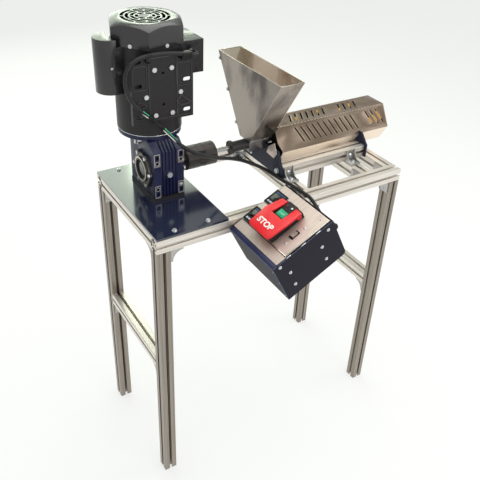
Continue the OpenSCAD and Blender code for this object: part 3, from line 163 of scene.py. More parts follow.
class ExtruderCamera(bpy.types.PropertyGroup):
    """The photograph's viewpoint, fitted to the corners of the slotted frame."""
    place: bpy.props.FloatVectorProperty(
        name="Place", description="Where the lens stands, from the front left foot", size=3,
        default=(-0.5309, -1.1815, 1.7938), unit="LENGTH")
    azimuth: bpy.props.FloatProperty(
        name="Azimuth", description="Direction of view, with 0 looking to the back",
        default=math.radians(-35.28), subtype="ANGLE")
    elevation: bpy.props.FloatProperty(
        name="Elevation", description="How far the camera looks down",
        default=math.radians(33.19), subtype="ANGLE")
    roll: bpy.props.FloatProperty(
        name="Roll", description="How far the camera leans", default=math.radians(3.82), subtype="ANGLE")
    focal: bpy.props.FloatProperty(
        name="Focal length", description="For a sensor 36 mm wide", default=48.42, subtype="DISTANCE_CAMERA")
    shift: bpy.props.FloatVectorProperty(
        name="Shift", description="Off-centre crop of the photograph", size=2, default=(-0.0440, -0.0380))


class ExtruderColours(bpy.types.PropertyGroup):
    """Colours that a user would change."""
    motor: bpy.props.StringProperty(name="Motor", description="Semi gloss enamel", default="#242225")
    gearbox: bpy.props.StringProperty(name="Gearbox", description="Enamel on the casting", default="#161c40")
    plates: bpy.props.StringProperty(name="Plates", description="Navy powder coat", default="#1d2136")
    box: bpy.props.StringProperty(name="Control box", description="Dark powder coat", default="#1b1926")
    paddle: bpy.props.StringProperty(name="Stop paddle", description="Moulded red", default="#e6212b")
    button: bpy.props.StringProperty(name="Start button", description="Moulded green", default="#12a573")
    floor: bpy.props.StringProperty(name="Floor", description="Pale studio floor", default="#f4f4f2")


def deselect():
    if bpy.context.object and bpy.context.object.mode != "OBJECT":
        bpy.ops.object.mode_set(mode="OBJECT")
    bpy.ops.object.select_all(action="DESELECT")


def only(piece):
    deselect()
    piece.select_set(True)
    bpy.context.view_layer.objects.active = piece
    return piece


def apply_place(piece, place):
    """Puts a piece that was made in millimetres where it belongs, with its place in its mesh."""
    only(piece)
    piece.matrix_world = place @ piece.matrix_world
    bpy.ops.object.transform_apply(location=True, rotation=True, scale=True)
    return piece


def round_edges(piece, width, steps=2):
    """Rounds a piece's sharp edges."""
    only(piece)
    bevel = piece.modifiers.new("edges", "BEVEL")
    bevel.width = width
    bevel.segments = steps
    bevel.limit_method = "ANGLE"
    bevel.angle_limit = math.radians(EDGE_ANGLE)
    bpy.ops.object.modifier_apply(modifier="edges")
    return piece


def block(name, low, high, edge):
    """A block between two corners, in millimetres, with rounded edges."""
    deselect()
    low, high = Vector(low), Vector(high)
    bpy.ops.mesh.primitive_cube_add(size=1, location=(low + high) / 2, scale=high - low)
    piece = bpy.context.object
    piece.name = name
    bpy.ops.object.transform_apply(location=False, rotation=False, scale=True)
    return round_edges(piece, edge) if edge else piece


def rod(name, foot, head, radius, sides, edge, top=None):
    """A round bar between two points, in millimetres."""
    deselect()
    foot, head = Vector(foot), Vector(head)
    along = head - foot
    turn = Vector((0, 0, 1)).rotation_difference(along).to_euler()
    bpy.ops.mesh.primitive_cone_add(
        vertices=sides, radius1=radius, radius2=radius if top is None else top,
        depth=along.length, location=(foot + head) / 2, rotation=turn)
    piece = bpy.context.object
    piece.name = name
    return round_edges(piece, edge) if edge else piece


def ring(name, centre, along, radius, thick, sides):
    """A round band, in millimetres."""
    deselect()
    turn = Vector((0, 0, 1)).rotation_difference(Vector(along)).to_euler()
    bpy.ops.mesh.primitive_torus_add(
        location=centre, rotation=turn, major_radius=radius, minor_radius=thick,
        major_segments=sides, minor_segments=10)
    piece = bpy.context.object
    piece.name = name
    return piece


def join(name, parts):
    """Makes one piece of several."""
    deselect()
    for part in parts:
        part.select_set(True)
    bpy.context.view_layer.objects.active = parts[0]
    bpy.ops.object.join()
    piece = bpy.context.object
    piece.name = name
    return piece


def finish(piece, place, look, body="machine", smooth=True):
    """Places a piece, gives it its look's finish and lets it ride on its body."""
    material, slot = look
    apply_place(piece, place)
    dress(piece, material)
    if smooth:
        bpy.ops.object.shade_smooth_by_angle(angle=math.radians(SMOOTH_ANGLE))
    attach(piece, body)
    return piece


def dress(piece, material):
    """Gives a piece one material and no other."""
    piece.data.materials.clear()
    piece.data.materials.append(bpy.data.materials[material])


def on_front(y):
    """A plane that faces the operator, with x to the right, y up and z out of it."""
    return BENCH @ Matrix.Translation((0, y, 0)) @ Matrix.Rotation(math.radians(90), 4, "X")


def on_left(x):
    """A plane that faces the motor end, with x towards the operator, y up and z out of it."""
    turn = Matrix(((0, 0, -1, 0), (-1, 0, 0, 0), (0, 1, 0, 0), (0, 0, 0, 1)))
    return BENCH @ Matrix.Translation((x, 0, 0)) @ turn


def thicken(name, points, faces, height, edge):
    """A flat shape drawn up to a height, closed, with its normals outward and its edges rounded."""
    mesh = bpy.data.meshes.new(name)
    mesh.from_pydata(points, [], faces)
    piece = bpy.data.objects.new(name, mesh)
    bpy.context.scene.collection.objects.link(piece)
    only(piece)
    bpy.ops.object.mode_set(mode="EDIT")
    bpy.ops.mesh.select_all(action="SELECT")
    bpy.ops.mesh.extrude_region_move(TRANSFORM_OT_translate={"value": (0, 0, height)})
    bpy.ops.mesh.select_all(action="SELECT")
    bpy.ops.mesh.normals_make_consistent(inside=False)
    bpy.ops.object.mode_set(mode="OBJECT")
    return round_edges(piece, edge) if edge else piece


def plate(name, outline, low, high, edge):
    """A flat piece from its outline, between two heights."""
    return thicken(name, [(x, y, low) for x, y in outline], [list(range(len(outline)))], high - low, edge)


def rounded(low, high, radius, steps=4):
    """Outline of a rectangle with round corners."""
    points = []
    corners = ((high[0], high[1]), (low[0], high[1]), (low[0], low[1]), (high[0], low[1]))
    for (x, y), start in zip(corners, (0, 90, 180, 270)):
        inside = (x - math.copysign(radius, x - (low[0] + high[0]) / 2),
                  y - math.copysign(radius, y - (low[1] + high[1]) / 2))
        for step in range(steps + 1):
            turn = math.radians(start + 90 * step / steps)
            points.append((inside[0] + radius * math.cos(turn), inside[1] + radius * math.sin(turn)))
    return points


def frame_piece(name, outer, inner, low, high, edge):
    """A flat frame between two outlines that have as many points."""
    count = len(outer)
    faces = [(i, (i + 1) % count, count + (i + 1) % count, count + i) for i in range(count)]
    return thicken(name, [(x, y, low) for x, y in outer + inner], faces, high - low, edge)


def disc(centre, radius, sides):
    """Outline of a circle."""
    turns = [math.tau * i / sides for i in range(sides)]
    return [(centre[0] + radius * math.cos(turn), centre[1] + radius * math.sin(turn)) for turn in turns]


def washer(name, centre, outer, inner, low, high, sides=40, edge=0.2):
    """A flat ring between two heights."""
    return frame_piece(name, disc(centre, outer, sides), disc(centre, inner, sides), low, high, edge)


def screw(name, x, y, foot, radius, height, socket=True):
    """A pan head screw that stands on a plane, with the socket for its key."""
    head = rod(name, (x, y, foot), (x, y, foot + height), radius, 24, height * 0.35)
    if not socket:
        return head
    only(head)
    bpy.ops.object.mode_set(mode="EDIT")
    bpy.ops.mesh.select_all(action="DESELECT")
    bpy.ops.object.mode_set(mode="OBJECT")
    crown = Vector((x, y, foot + height)) - head.location
    for face in head.data.polygons:
        face.select = face.normal.z > 0.9 and (face.center - crown).length < radius
    bpy.ops.object.mode_set(mode="EDIT")
    bpy.ops.mesh.inset(thickness=radius * 0.35)
    bpy.ops.mesh.extrude_region_move(TRANSFORM_OT_translate={"value": (0, 0, -height * 0.5)})
    bpy.ops.object.mode_set(mode="OBJECT")
    return head


def cut(piece, tool, how):
    """Cuts a tool's shape out of a piece, or adds it to the piece. The tool is used up."""
    only(piece)
    step = piece.modifiers.new("cut", "BOOLEAN")
    step.object = tool
    step.operation = how
    step.solver = "EXACT"
    bpy.ops.object.modifier_apply(modifier="cut")
    bpy.data.objects.remove(tool)


def softened(node, name, width, look, body="machine", steps=3, cuts=()):
    """A copy of a CAD node with rounded edges, which takes the node's place."""
    material, slot = look
    piece = bpy.data.objects.new(name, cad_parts[node].data.copy())
    bpy.context.scene.collection.objects.link(piece)
    only(piece)
    bpy.ops.object.mode_set(mode="EDIT")
    bpy.ops.mesh.select_all(action="SELECT")
    bpy.ops.mesh.remove_doubles(threshold=MERGE)
    bpy.ops.mesh.dissolve_limited(angle_limit=math.radians(FLAT_ANGLE))
    bpy.ops.object.mode_set(mode="OBJECT")
    for tool, how in cuts:
        cut(piece, tool, how)
    round_edges(piece, width / 1000, steps)
    dress(piece, material)
    bpy.ops.object.shade_smooth_by_angle(angle=math.radians(SMOOTH_ANGLE))
    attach(piece, body)
    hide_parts(node)
    return piece


def left_end(node):
    """How far along the bench a node begins, in millimetres."""
    return (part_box(node)[0][0] - CORNER[0]) * 1000


def lettering(name, words, corner, width, height, low, thick, bold):
    """Letters on the panel, read from the back towards the operator."""
    deselect()
    bpy.ops.object.text_add()
    piece = bpy.context.object
    piece.name = name
    piece.data.body = words
    piece.data.offset = bold
    piece.data.extrude = 0.1
    piece.data.resolution_u = 4
    bpy.ops.object.convert(target="MESH")
    piece = bpy.context.object
    near, far = Vector(piece.bound_box[0]), Vector(piece.bound_box[6])
    size = far - near
    piece.scale = (width / size.x, height / size.y, thick / size.z)
    piece.location = [-near[i] * piece.scale[i] for i in range(3)]
    bpy.ops.object.transform_apply(location=True, rotation=True, scale=True)
    piece.rotation_euler = (0, 0, math.radians(-90))
    piece.location = (corner[0], -corner[1], low)
    return piece


def add(tree, kind, settings=None, inputs=None):
    """Adds a node, sets its properties, and joins or sets its inputs."""
    made = tree.nodes.new(kind)
    for name, value in (settings or {}).items():
        setattr(made, name, value)
    for name, value in (inputs or {}).items():
        if isinstance(value, bpy.types.NodeSocket):
            tree.links.new(value, made.inputs[name])
        else:
            made.inputs[name].default_value = value
    return made


def surface(name, colour, metallic, roughness, **more):
    """A new material with one Principled shader. Constants go straight onto its sockets."""
    material = bpy.data.materials.new(name)
    material.use_nodes = True
    tree = material.node_tree
    tree.nodes.clear()
    out = add(tree, "ShaderNodeOutputMaterial")
    shader = add(tree, "ShaderNodeBsdfPrincipled", inputs={
        "Base Color": linear(colour), "Metallic": metallic, "Roughness": roughness, **more})
    tree.links.new(shader.outputs["BSDF"], out.inputs["Surface"])
    return tree, shader


def set_stops(ramp, stops, tones):
    """Puts a colour ramp's stops and their colours."""
    for stop, at, tone in zip(ramp.color_ramp.elements, stops, tones):
        stop.position = at
        stop.color = linear(tone)


def weather(tree, shader, size, tones, rough, relief, stretch=(1, 1, 1), detail=4, hard=(0.3, 0.7)):
    """Lets colour, roughness and relief follow one pattern whose grain is size millimetres."""
    coords = add(tree, "ShaderNodeTexCoord")
    mapping = add(tree, "ShaderNodeMapping", inputs={"Vector": coords.outputs["Object"], "Scale": stretch})
    noise = add(tree, "ShaderNodeTexNoise", inputs={
        "Vector": mapping.outputs["Vector"], "Scale": 1000 / size, "Detail": detail, "Roughness": 0.55})
    ramp = add(tree, "ShaderNodeValToRGB", inputs={"Fac": noise.outputs["Fac"]})
    set_stops(ramp, hard, tones)
    spread = add(tree, "ShaderNodeMapRange", inputs={
        "Value": noise.outputs["Fac"], "From Min": hard[0], "From Max": hard[1],
        "To Min": rough[0], "To Max": rough[1]})
    tree.links.new(ramp.outputs["Color"], shader.inputs["Base Color"])
    tree.links.new(spread.outputs["Result"], shader.inputs["Roughness"])
    emboss(tree, shader, noise.outputs["Fac"], relief)
    return noise


def emboss(tree, shader, height, relief):
    """Adds a relief in millimetres under any relief that the shader already has."""
    bump = add(tree, "ShaderNodeBump", inputs={"Height": height, "Distance": relief / 1000, "Strength": 0.6})
    if shader.inputs["Normal"].is_linked:
        tree.links.new(shader.inputs["Normal"].links[0].from_socket, bump.inputs["Normal"])
    tree.links.new(bump.outputs["Normal"], shader.inputs["Normal"])


def recolour(tree, shader, share, colour):
    """Lets another colour take over where share is 1."""
    mix = add(tree, "ShaderNodeMix", {"data_type": "RGBA"}, {
        0: share, 6: shader.inputs["Base Color"].links[0].from_socket, 7: colour})
    tree.links.new(mix.outputs[2], shader.inputs["Base Color"])


def lighter(code, times):
    """A hex code with each channel multiplied."""
    return "#" + "".join("%02x" % min(255, int(int(code[i:i + 2], 16) * times)) for i in (1, 3, 5))


def coated(name, colour, roughness, size, shades, rough, relief, **more):
    """Enamel, powder coat or plastic. Its tones are shades of one colour."""
    tree, shader = surface(name, colour, 0.0, roughness, **more)
    weather(tree, shader, size, [lighter(colour, shade) for shade in shades], rough, relief)


def powder_coat(name, colour, rough, coat=0.0, shine=0.5):
    """Powder coat. A soft orange peel breaks the reflections."""
    coated(name, colour, 0.25, 2.8, (1, 1.12), rough, 0.05,
           **{"Coat Weight": coat, "Coat Roughness": 0.1, "Specular IOR Level": shine})


def moulded(name, colour, roughness, spread=0.06, **more):
    """Moulded plastic. The mould's texture gives a fine even grain."""
    coated(name, colour, roughness, 0.9, (0.94, 1.05), (roughness - spread, roughness + spread), 0.03, **more)


def anodised_profile(axis):
    """Clear anodised extrusion. Die lines run along the bar and catch the light as fine streaks."""
    tree, shader = surface("anodised_profile_" + "XYZ"[axis], "#bdb4ab", 0.75, 0.36)
    stretch = [1.0, 1.0, 1.0]
    stretch[axis] = 0.01
    # The legs' tones are darker, as painted shade, and the rails' lighter, as painted light: the legs stand
    # lower, where less light from above reaches
    tones = ("#857c73", "#aca399") if axis == 2 else ("#d2c9c0", "#f4eee8")
    weather(tree, shader, 2.2, tones, (0.28, 0.42), 0.08, stretch)


def backing_cloth():
    """Dark glass cloth with its plain weave, for the backing inside the hood, a painted shade that stands in
    for the shade there.
    """
    tree, shader = surface("dark_backing_cloth", "#100f0f", 0.0, 0.9, **{"Specular IOR Level": 0.1})
    coords = add(tree, "ShaderNodeTexCoord")
    weave = add(tree, "ShaderNodeTexChecker", inputs={
        "Vector": coords.outputs["Object"], "Scale": 1000 / 1.6,
        "Color1": linear("#0b0a0a"), "Color2": linear("#191716")})
    tree.links.new(weave.outputs["Color"], shader.inputs["Base Color"])
    emboss(tree, shader, weave.outputs["Fac"], 0.2)


def mill_stainless():
    """Mill finished stainless sheet with large light and dark streaks outside, and lighter inside, where the
    lighter tones are painted light.
    """
    tree, shader = surface("mill_stainless_sheet", "#9a928c", 0.85, 0.26)
    streak_stops = (0.42, 0.58)
    noise = weather(tree, shader, 110, ("#5b5450", "#a39a92"), (0.16, 0.32), 0.05, (1, 0.9, 0.45), 5, streak_stops)
    inner_highlight = add(tree, "ShaderNodeValToRGB", inputs={"Fac": noise.outputs["Fac"]})
    set_stops(inner_highlight, streak_stops, ("#c4b6a8", "#f6ede6"))
    # A face looks at the middle of the hopper from inside, and away from it outside. Inside faces get the
    # lighter tones, a painted highlight
    coords = add(tree, "ShaderNodeTexCoord")
    away = add(tree, "ShaderNodeVectorMath", {"operation": "SUBTRACT"}, {
        0: coords.outputs["Object"], 1: BENCH @ HOPPER_MIDDLE})
    geometry = add(tree, "ShaderNodeNewGeometry")
    facing = add(tree, "ShaderNodeVectorMath", {"operation": "DOT_PRODUCT"}, {
        0: away.outputs["Vector"], 1: geometry.outputs["True Normal"]})
    within = add(tree, "ShaderNodeMath", {"operation": "LESS_THAN"}, {0: facing.outputs["Value"], 1: 0.0})
    recolour(tree, shader, within.outputs[0], inner_highlight.outputs["Color"])


def tinted_stainless():
    """Stainless hood that heat has tinted straw brown. Its lower faces are pale and duller, a painted
    highlight.
    """
    tree, shader = surface("heat_tinted_stainless", "#8f7c6e", 0.85, 0.34)
    weather(tree, shader, 60, ("#786759", "#a08f80"), (0.28, 0.42), 0.04, (0.5, 1, 1), 6)
    geometry = add(tree, "ShaderNodeNewGeometry")
    split = add(tree, "ShaderNodeSeparateXYZ", inputs={"Vector": geometry.outputs["True Normal"]})
    # The lower faces look down, so their normals have a negative height. Their pale colour is painted light
    under = add(tree, "ShaderNodeMath", {"operation": "LESS_THAN"}, {0: split.outputs["Z"], 1: -0.2})
    recolour(tree, shader, under.outputs[0], linear("#fdeedd"))
    dull = add(tree, "ShaderNodeMapRange", inputs={"Value": under.outputs[0], "To Min": 0.34, "To Max": 0.58})
    tree.links.new(dull.outputs["Result"], shader.inputs["Roughness"])


def cable_jacket():
    """Black braided jacket. Fine ribs cross the lead every few millimetres."""
    tree, shader = surface("black_lead_jacket", "#1b1a1d", 0.0, 0.5, **{"Specular IOR Level": 0.35})
    coords = add(tree, "ShaderNodeTexCoord")
    wave = add(tree, "ShaderNodeTexWave", {"wave_type": "BANDS", "bands_direction": "DIAGONAL"}, {
        "Vector": coords.outputs["Object"], "Scale": 1000 / 9, "Distortion": 1.0, "Detail": 2})
    ramp = add(tree, "ShaderNodeValToRGB", inputs={"Fac": wave.outputs["Fac"]})
    set_stops(ramp, (0, 1), ("#141316", "#2b292c"))
    tree.links.new(ramp.outputs["Color"], shader.inputs["Base Color"])
    emboss(tree, shader, wave.outputs["Fac"], 0.3)


# Metals with one pattern each: name, colour, metallic, roughness, grain in millimetres, its two
# tones, how far the roughness spreads, relief in millimetres and, where it has one, its stretch
METALS = (
    # Bearing cover as cast, darkened as painted shade because its face looks away from the light
    ("dull_cast_cover", "#55524f", 0.8, 0.4, 1.8, ("#4a4846", "#86827e"), (0.3, 0.5), 0.14),
    # Tumbled die casting. Its skin is finely pitted and a little dull
    ("tumbled_cast_aluminium", "#b9b7b4", 0.9, 0.34, 1.6, ("#9c9a98", "#cdcbc8"), (0.22, 0.42), 0.12),
    # Bright zinc plating on screws. Clear and slightly blue
    ("bright_zinc_plate", "#c9ccd0", 0.65, 0.24, 0.8, ("#b6babf", "#e4e6e8"), (0.18, 0.32), 0.02),
    # Turned steel with fine tool marks
    ("turned_steel", "#a7a7a8", 1.0, 0.28, 0.6, ("#8f8f91", "#bcbcbc"), (0.2, 0.36), 0.02),
    # Black oxide. Nearly black, with a brown cast where it is rubbed
    ("black_oxide_steel", "#39373a", 0.7, 0.42, 2.4, ("#2d2b2f", "#4a4646"), (0.34, 0.52), 0.05),
    # Sintered coupling hub. Dark grey, close grained and slightly oily
    ("oiled_sintered_iron", "#383331", 0.5, 0.42, 1.0, ("#2c2826", "#48423f"), (0.36, 0.52), 0.06),
    # Machined tin bronze of the worm wheel
    ("machined_bronze", "#a8773d", 1.0, 0.35, 1.0, ("#94672f", "#b98a50"), (0.28, 0.42), 0.02),
    # Varnished copper and laminations, with the wires across
    ("varnished_windings", "#8f5a34", 0.8, 0.4, 1.2, ("#7a4624", "#a06a40"), (0.3, 0.5), 0.1, (1, 1, 6)),
    # Brushed steel panel with a warm cast. The brush lines run up the slope
    ("brushed_warm_panel", "#b3a097", 0.45, 0.4, 1.2, ("#c3b0a7", "#e0d0c7"), (0.32, 0.46), 0.03,
     (0.03, 1, 0.03)),
    # Brass heater bands that heat has browned
    ("heat_browned_brass", "#8f7a4a", 0.9, 0.4, 6, ("#6f5c38", "#a68f5c"), (0.3, 0.5), 0.05),
    # Bare cut edges and machined rims, brighter than their faces. On the hopper's corners and top edges, the
    # hood's folds and the panel's edges it is a painted highlight
    ("worn_bright_edge", "#d8d0c2", 1.0, 0.3, 1.5, ("#b9b0a2", "#ece6da"), (0.22, 0.4), 0.02),
)
# Plastics with one grain each: name, colour, roughness and, where it isn't 0.06, its spread
MOULDINGS = (
    # Smoked polycarbonate of the rocker, a warm grey
    ("smoked_polycarbonate", "#a0908a", 0.35),
    # Pad printed ink. Flat and even
    ("white_pad_print", "#f2f0ee", 0.5),
    # The same ink on the button, pale green because it is worn
    ("worn_pad_print", "#8fdcc0", 0.45),
    # PVC insulation of single wires, with a soft even sheen
    ("green_pvc_sleeve", "#2fae7e", 0.45),
    ("white_pvc_sleeve", "#e8e4de", 0.45),
    # Varnished fibreglass sleeve of the heater leads
    ("yellow_fibreglass_sleeve", "#e0a21c", 0.45),
    # Silicone keys. Soft, pale and a little blue
    ("pale_silicone", "#c3cfdc", 0.45),
    # Polyester film beside each window, smoother than the keys
    ("blue_polyester_film", "#3f5da0", 0.3),
    # Display segments that are off, so a dull brown
    ("unlit_segment_epoxy", "#4a2c2a", 0.3),
    # Polished acrylic lens of the lamp
    ("dark_red_acrylic", "#7a1518", 0.2),
    # Acrylic window of a controller, smoother than all the mouldings round it
    ("dark_acrylic_window", "#0c0d10", 0.12, 0.03),
)

# The finish that each of the machine's own nodes gets
NODE_FINISHES = {
    "anodised_profile_X": ["rail_front", "rail_back", "barrel_rails"],
    "anodised_profile_Y": ["cross_rail_drive", "cross_rail_feed", "cross_rail_nozzle", "cross_rail_end",
                           "leg_braces"],
    "anodised_profile_Z": ["leg_front_left", "leg_front_right", "leg_back_left", "leg_back_right"],
    "tumbled_cast_aluminium": ["corner_brackets"],
    "dull_cast_cover": ["gearbox_covers"],
    "bright_zinc_plate": ["bracket_bolts", "plate_bolts", "gearbox_bolts", "motor_bolts", "control_screws"],
    "navy_powder_plate": ["drive_plate"],
    "navy_powder_bracket": ["feed_plate", "nozzle_plate"],
    "dark_powder_box": ["control_box", "control_sides"],
    "black_oxide_steel": ["gearbox_block", "bearing_tube"],
    "blue_casting_enamel": ["gearbox_housing", "input_flange"],
    "turned_steel": ["gearbox_bearings", "worm", "output_shaft", "motor_rotor",
                     "extruder_screw", "barrel", "feed_throat", "nozzle"],
    "machined_bronze": ["worm_wheel"],
    "black_motor_enamel": ["motor_shell", "motor_end_bell", "fan_cover", "foot_plate",
                           "capacitor_cover", "conduit_box", "conduit_lid"],
    "varnished_windings": ["motor_stator"],
    "moulded_black_nylon": ["motor_fan", "controllers"],
    "smoked_polycarbonate": ["rocker_switch"],
    "oiled_sintered_iron": ["hub_drive", "hub_screw"],
    "nitrile_rubber": ["hub_spider"],
    "mill_stainless_sheet": ["hopper"],
    "heat_browned_brass": ["heater_bands"],
    "heat_tinted_stainless": ["heat_hood"],
    "brushed_warm_panel": ["control_panel"],
    "charcoal_moulded_abs": ["switch_base"],
    "red_moulded_abs": ["stop_paddle"],
    "green_moulded_abs": ["start_button"],
}


class EXTRUDER_OT_finishes(bpy.types.Operator):
    """Makes every finish and gives the machine's own nodes theirs"""
    bl_idname = "extruder.finishes"
    bl_label = "Finishes"

    def execute(self, context):
        colours = context.scene.extruder_colours
        for axis in range(3):
            anodised_profile(axis)
        for name, colour, metallic, roughness, *pattern in METALS:
            weather(*surface(name, colour, metallic, roughness), *pattern)
        for make in (mill_stainless, tinted_stainless, cable_jacket, backing_cloth):
            make()
        self.paints(colours)
        # Glass filled nylon. Nearly black, with little shine
        moulded("moulded_black_nylon", "#161518", 0.45, **{"Specular IOR Level": 0.3})
        # Rubber, duller than the nylon
        moulded("nitrile_rubber", "#151416", 0.6, **{"Specular IOR Level": 0.3})
        # Moulded ABS of the switch: a charcoal base, a glossier red paddle and a green button
        moulded("charcoal_moulded_abs", "#1d1c1f", 0.42, **{"Specular IOR Level": 0.35})
        moulded("red_moulded_abs", colours.paddle, 0.32)
        moulded("green_moulded_abs", colours.button, 0.35)
        for moulding in MOULDINGS:
            moulded(*moulding)
        for material, nodes in NODE_FINISHES.items():
            for node in nodes:
                dress(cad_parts[node], material)
        return {"FINISHED"}

    def paints(self, colours):
        # Dark blue enamel over a sand textured casting
        coated("blue_casting_enamel", colours.gearbox, 0.34, 1.8, (0.8, 1.2), (0.3, 0.46), 0.16,
               **{"Specular IOR Level": 0.35})
        # Semi gloss enamel on rolled and pressed steel, with a faint orange peel
        coated("black_motor_enamel", colours.motor, 0.4, 3.0, (0.85, 1.15), (0.36, 0.5), 0.07,
               **{"Specular IOR Level": 0.3})
        # Gloss enamel on the drawn covers. Smoother than the shell, so it mirrors the light above
        coated("black_cover_enamel", colours.motor, 0.34, 4.0, (0.88, 1.12), (0.3, 0.42), 0.06,
               **{"Specular IOR Level": 0.35, "Coat Weight": 0.6, "Coat Roughness": 0.16})
        # Navy plate, whose clear coat mirrors what stands on it
        powder_coat("navy_powder_plate", colours.plates, (0.12, 0.2), coat=1.0)
        # Brackets in the same colour, without that gloss
        powder_coat("navy_powder_bracket", colours.plates, (0.42, 0.54), shine=0.25)
        # Dark box, nearly matt
        powder_coat("dark_powder_box", colours.box, (0.5, 0.62), shine=0.2)
        # Paler lines along the box's near corner edges
        powder_coat("pale_powder_edge", "#5a6384", (0.3, 0.5), shine=0.4)
        # Strip in front of the panel, a little bluer than the box
        powder_coat("navy_powder_strip", "#23264a", (0.3, 0.42), shine=0.3)


class EXTRUDER_OT_stage(bpy.types.Operator):
    """Makes the pale floor, the soft lights, the world and the camera"""
    bl_idname = "extruder.stage"
    bl_label = "Stage"

    def execute(self, context):
        self.floor(context)
        self.world(context)
        for lamp in LAMPS:
            self.lamp(*lamp)
        self.camera(context)
        return {"FINISHED"}

    def floor(self, context):
        """Pale paper. Its glow makes it nearly white to the camera, metal and glass, and shadows show."""
        deselect()
        bpy.ops.mesh.primitive_grid_add(x_subdivisions=4, y_subdivisions=4, size=24, location=(0, 6, 0))
        floor = context.object
        floor.name = "studio_floor"
        bpy.ops.object.transform_apply(location=True, rotation=True, scale=True)
        tree, shader = surface("pale_paper_floor", context.scene.extruder_colours.floor, 0.0, 0.9)
        out = tree.nodes["Material Output"]
        path = add(tree, "ShaderNodeLightPath")
        glow = add(tree, "ShaderNodeEmission", inputs={"Color": (1, 1, 1, 1), "Strength": 1.0})
        seen = add(tree, "ShaderNodeMath", {"operation": "ADD"}, {
            0: path.outputs["Is Camera Ray"], 1: path.outputs["Is Glossy Ray"]})
        seen = add(tree, "ShaderNodeMath", {"operation": "ADD"}, {
            0: seen.outputs[0], 1: path.outputs["Is Transmission Ray"]})
        share = add(tree, "ShaderNodeMath", {"operation": "MULTIPLY", "use_clamp": True}, {
            0: seen.outputs[0], 1: FLOOR_GLOW})
        mix = add(tree, "ShaderNodeMixShader", inputs={
            0: share.outputs[0], 1: shader.outputs["BSDF"], 2: glow.outputs["Emission"]})
        tree.links.new(mix.outputs["Shader"], out.inputs["Surface"])
        floor.data.materials.append(bpy.data.materials["pale_paper_floor"])

    def world(self, context):
        """White at the horizon, a darker band above it and a pale ceiling, for the metal to mirror."""
        world = bpy.data.worlds.new("studio")
        context.scene.world = world
        world.use_nodes = True
        tree = world.node_tree
        tree.nodes.clear()
        out = add(tree, "ShaderNodeOutputWorld")
        coords = add(tree, "ShaderNodeTexCoord")
        split = add(tree, "ShaderNodeSeparateXYZ", inputs={"Vector": coords.outputs["Generated"]})
        ramp = add(tree, "ShaderNodeValToRGB", inputs={"Fac": split.outputs["Z"]})
        ramp.color_ramp.elements.new(0.28)
        set_stops(ramp, (0.12, 0.28, 0.62), ("#ffffff", "#6d6862", "#cdd4ca"))
        sky = add(tree, "ShaderNodeBackground", inputs={"Color": ramp.outputs["Color"], "Strength": 1.0})
        tree.links.new(sky.outputs["Background"], out.inputs["Surface"])

    def lamp(self, name, place, size, power, tint=(1, 1, 1)):
        deselect()
        aim = LAMP_TARGET - Vector(place)
        bpy.ops.object.light_add(
            type="AREA", location=place, rotation=aim.to_track_quat("-Z", "Y").to_euler())
        lamp = bpy.context.object
        lamp.name = name
        lamp.data.size = size
        lamp.data.energy = power
        lamp.data.color = tint
        lamp.visible_camera = False

    def camera(self, context):
        view = context.scene.extruder_camera
        a, e, r = view.azimuth, view.elevation, view.roll
        back = Vector((math.sin(a) * math.cos(e), -math.cos(a) * math.cos(e), math.sin(e)))
        right = (-back).cross(Vector((0, 0, 1))).normalized()
        up = right.cross(-back)
        turn = Matrix((math.cos(r) * right + math.sin(r) * up,
                       math.cos(r) * up - math.sin(r) * right, back)).transposed().to_4x4()
        deselect()
        bpy.ops.object.camera_add()
        camera = context.object
        camera.matrix_world = Matrix.Translation(CORNER + Vector(view.place)) @ turn
        camera.data.lens = view.focal
        camera.data.sensor_width = 36
        camera.data.shift_x, camera.data.shift_y = view.shift
        camera.data.clip_end = 100
        context.scene.camera = camera
        context.scene.view_settings.view_transform = "Standard"


def cord_curve(name, points, radius, thin=None):
    """A smooth round lead through points. thin narrows it at some of them."""
    curve = bpy.data.curves.new(name, "CURVE")
    curve.dimensions = "3D"
    curve.bevel_depth = radius
    curve.bevel_resolution = 4
    curve.resolution_u = 6
    curve.use_fill_caps = True
    spline = curve.splines.new("BEZIER")
    spline.bezier_points.add(len(points) - 1)
    for i, (knot, point) in enumerate(zip(spline.bezier_points, points)):
        knot.co = point
        knot.handle_left_type = knot.handle_right_type = "AUTO"
        knot.radius = (thin or {}).get(i, 1)
    made = bpy.data.objects.new(name, curve)
    bpy.context.scene.collection.objects.link(made)
    return made


def tube(name, points, radius):
    """A smooth round wire through points in millimetres, as a mesh."""
    only(cord_curve(name, points, radius))
    bpy.ops.object.convert(target="MESH")
    return bpy.context.object


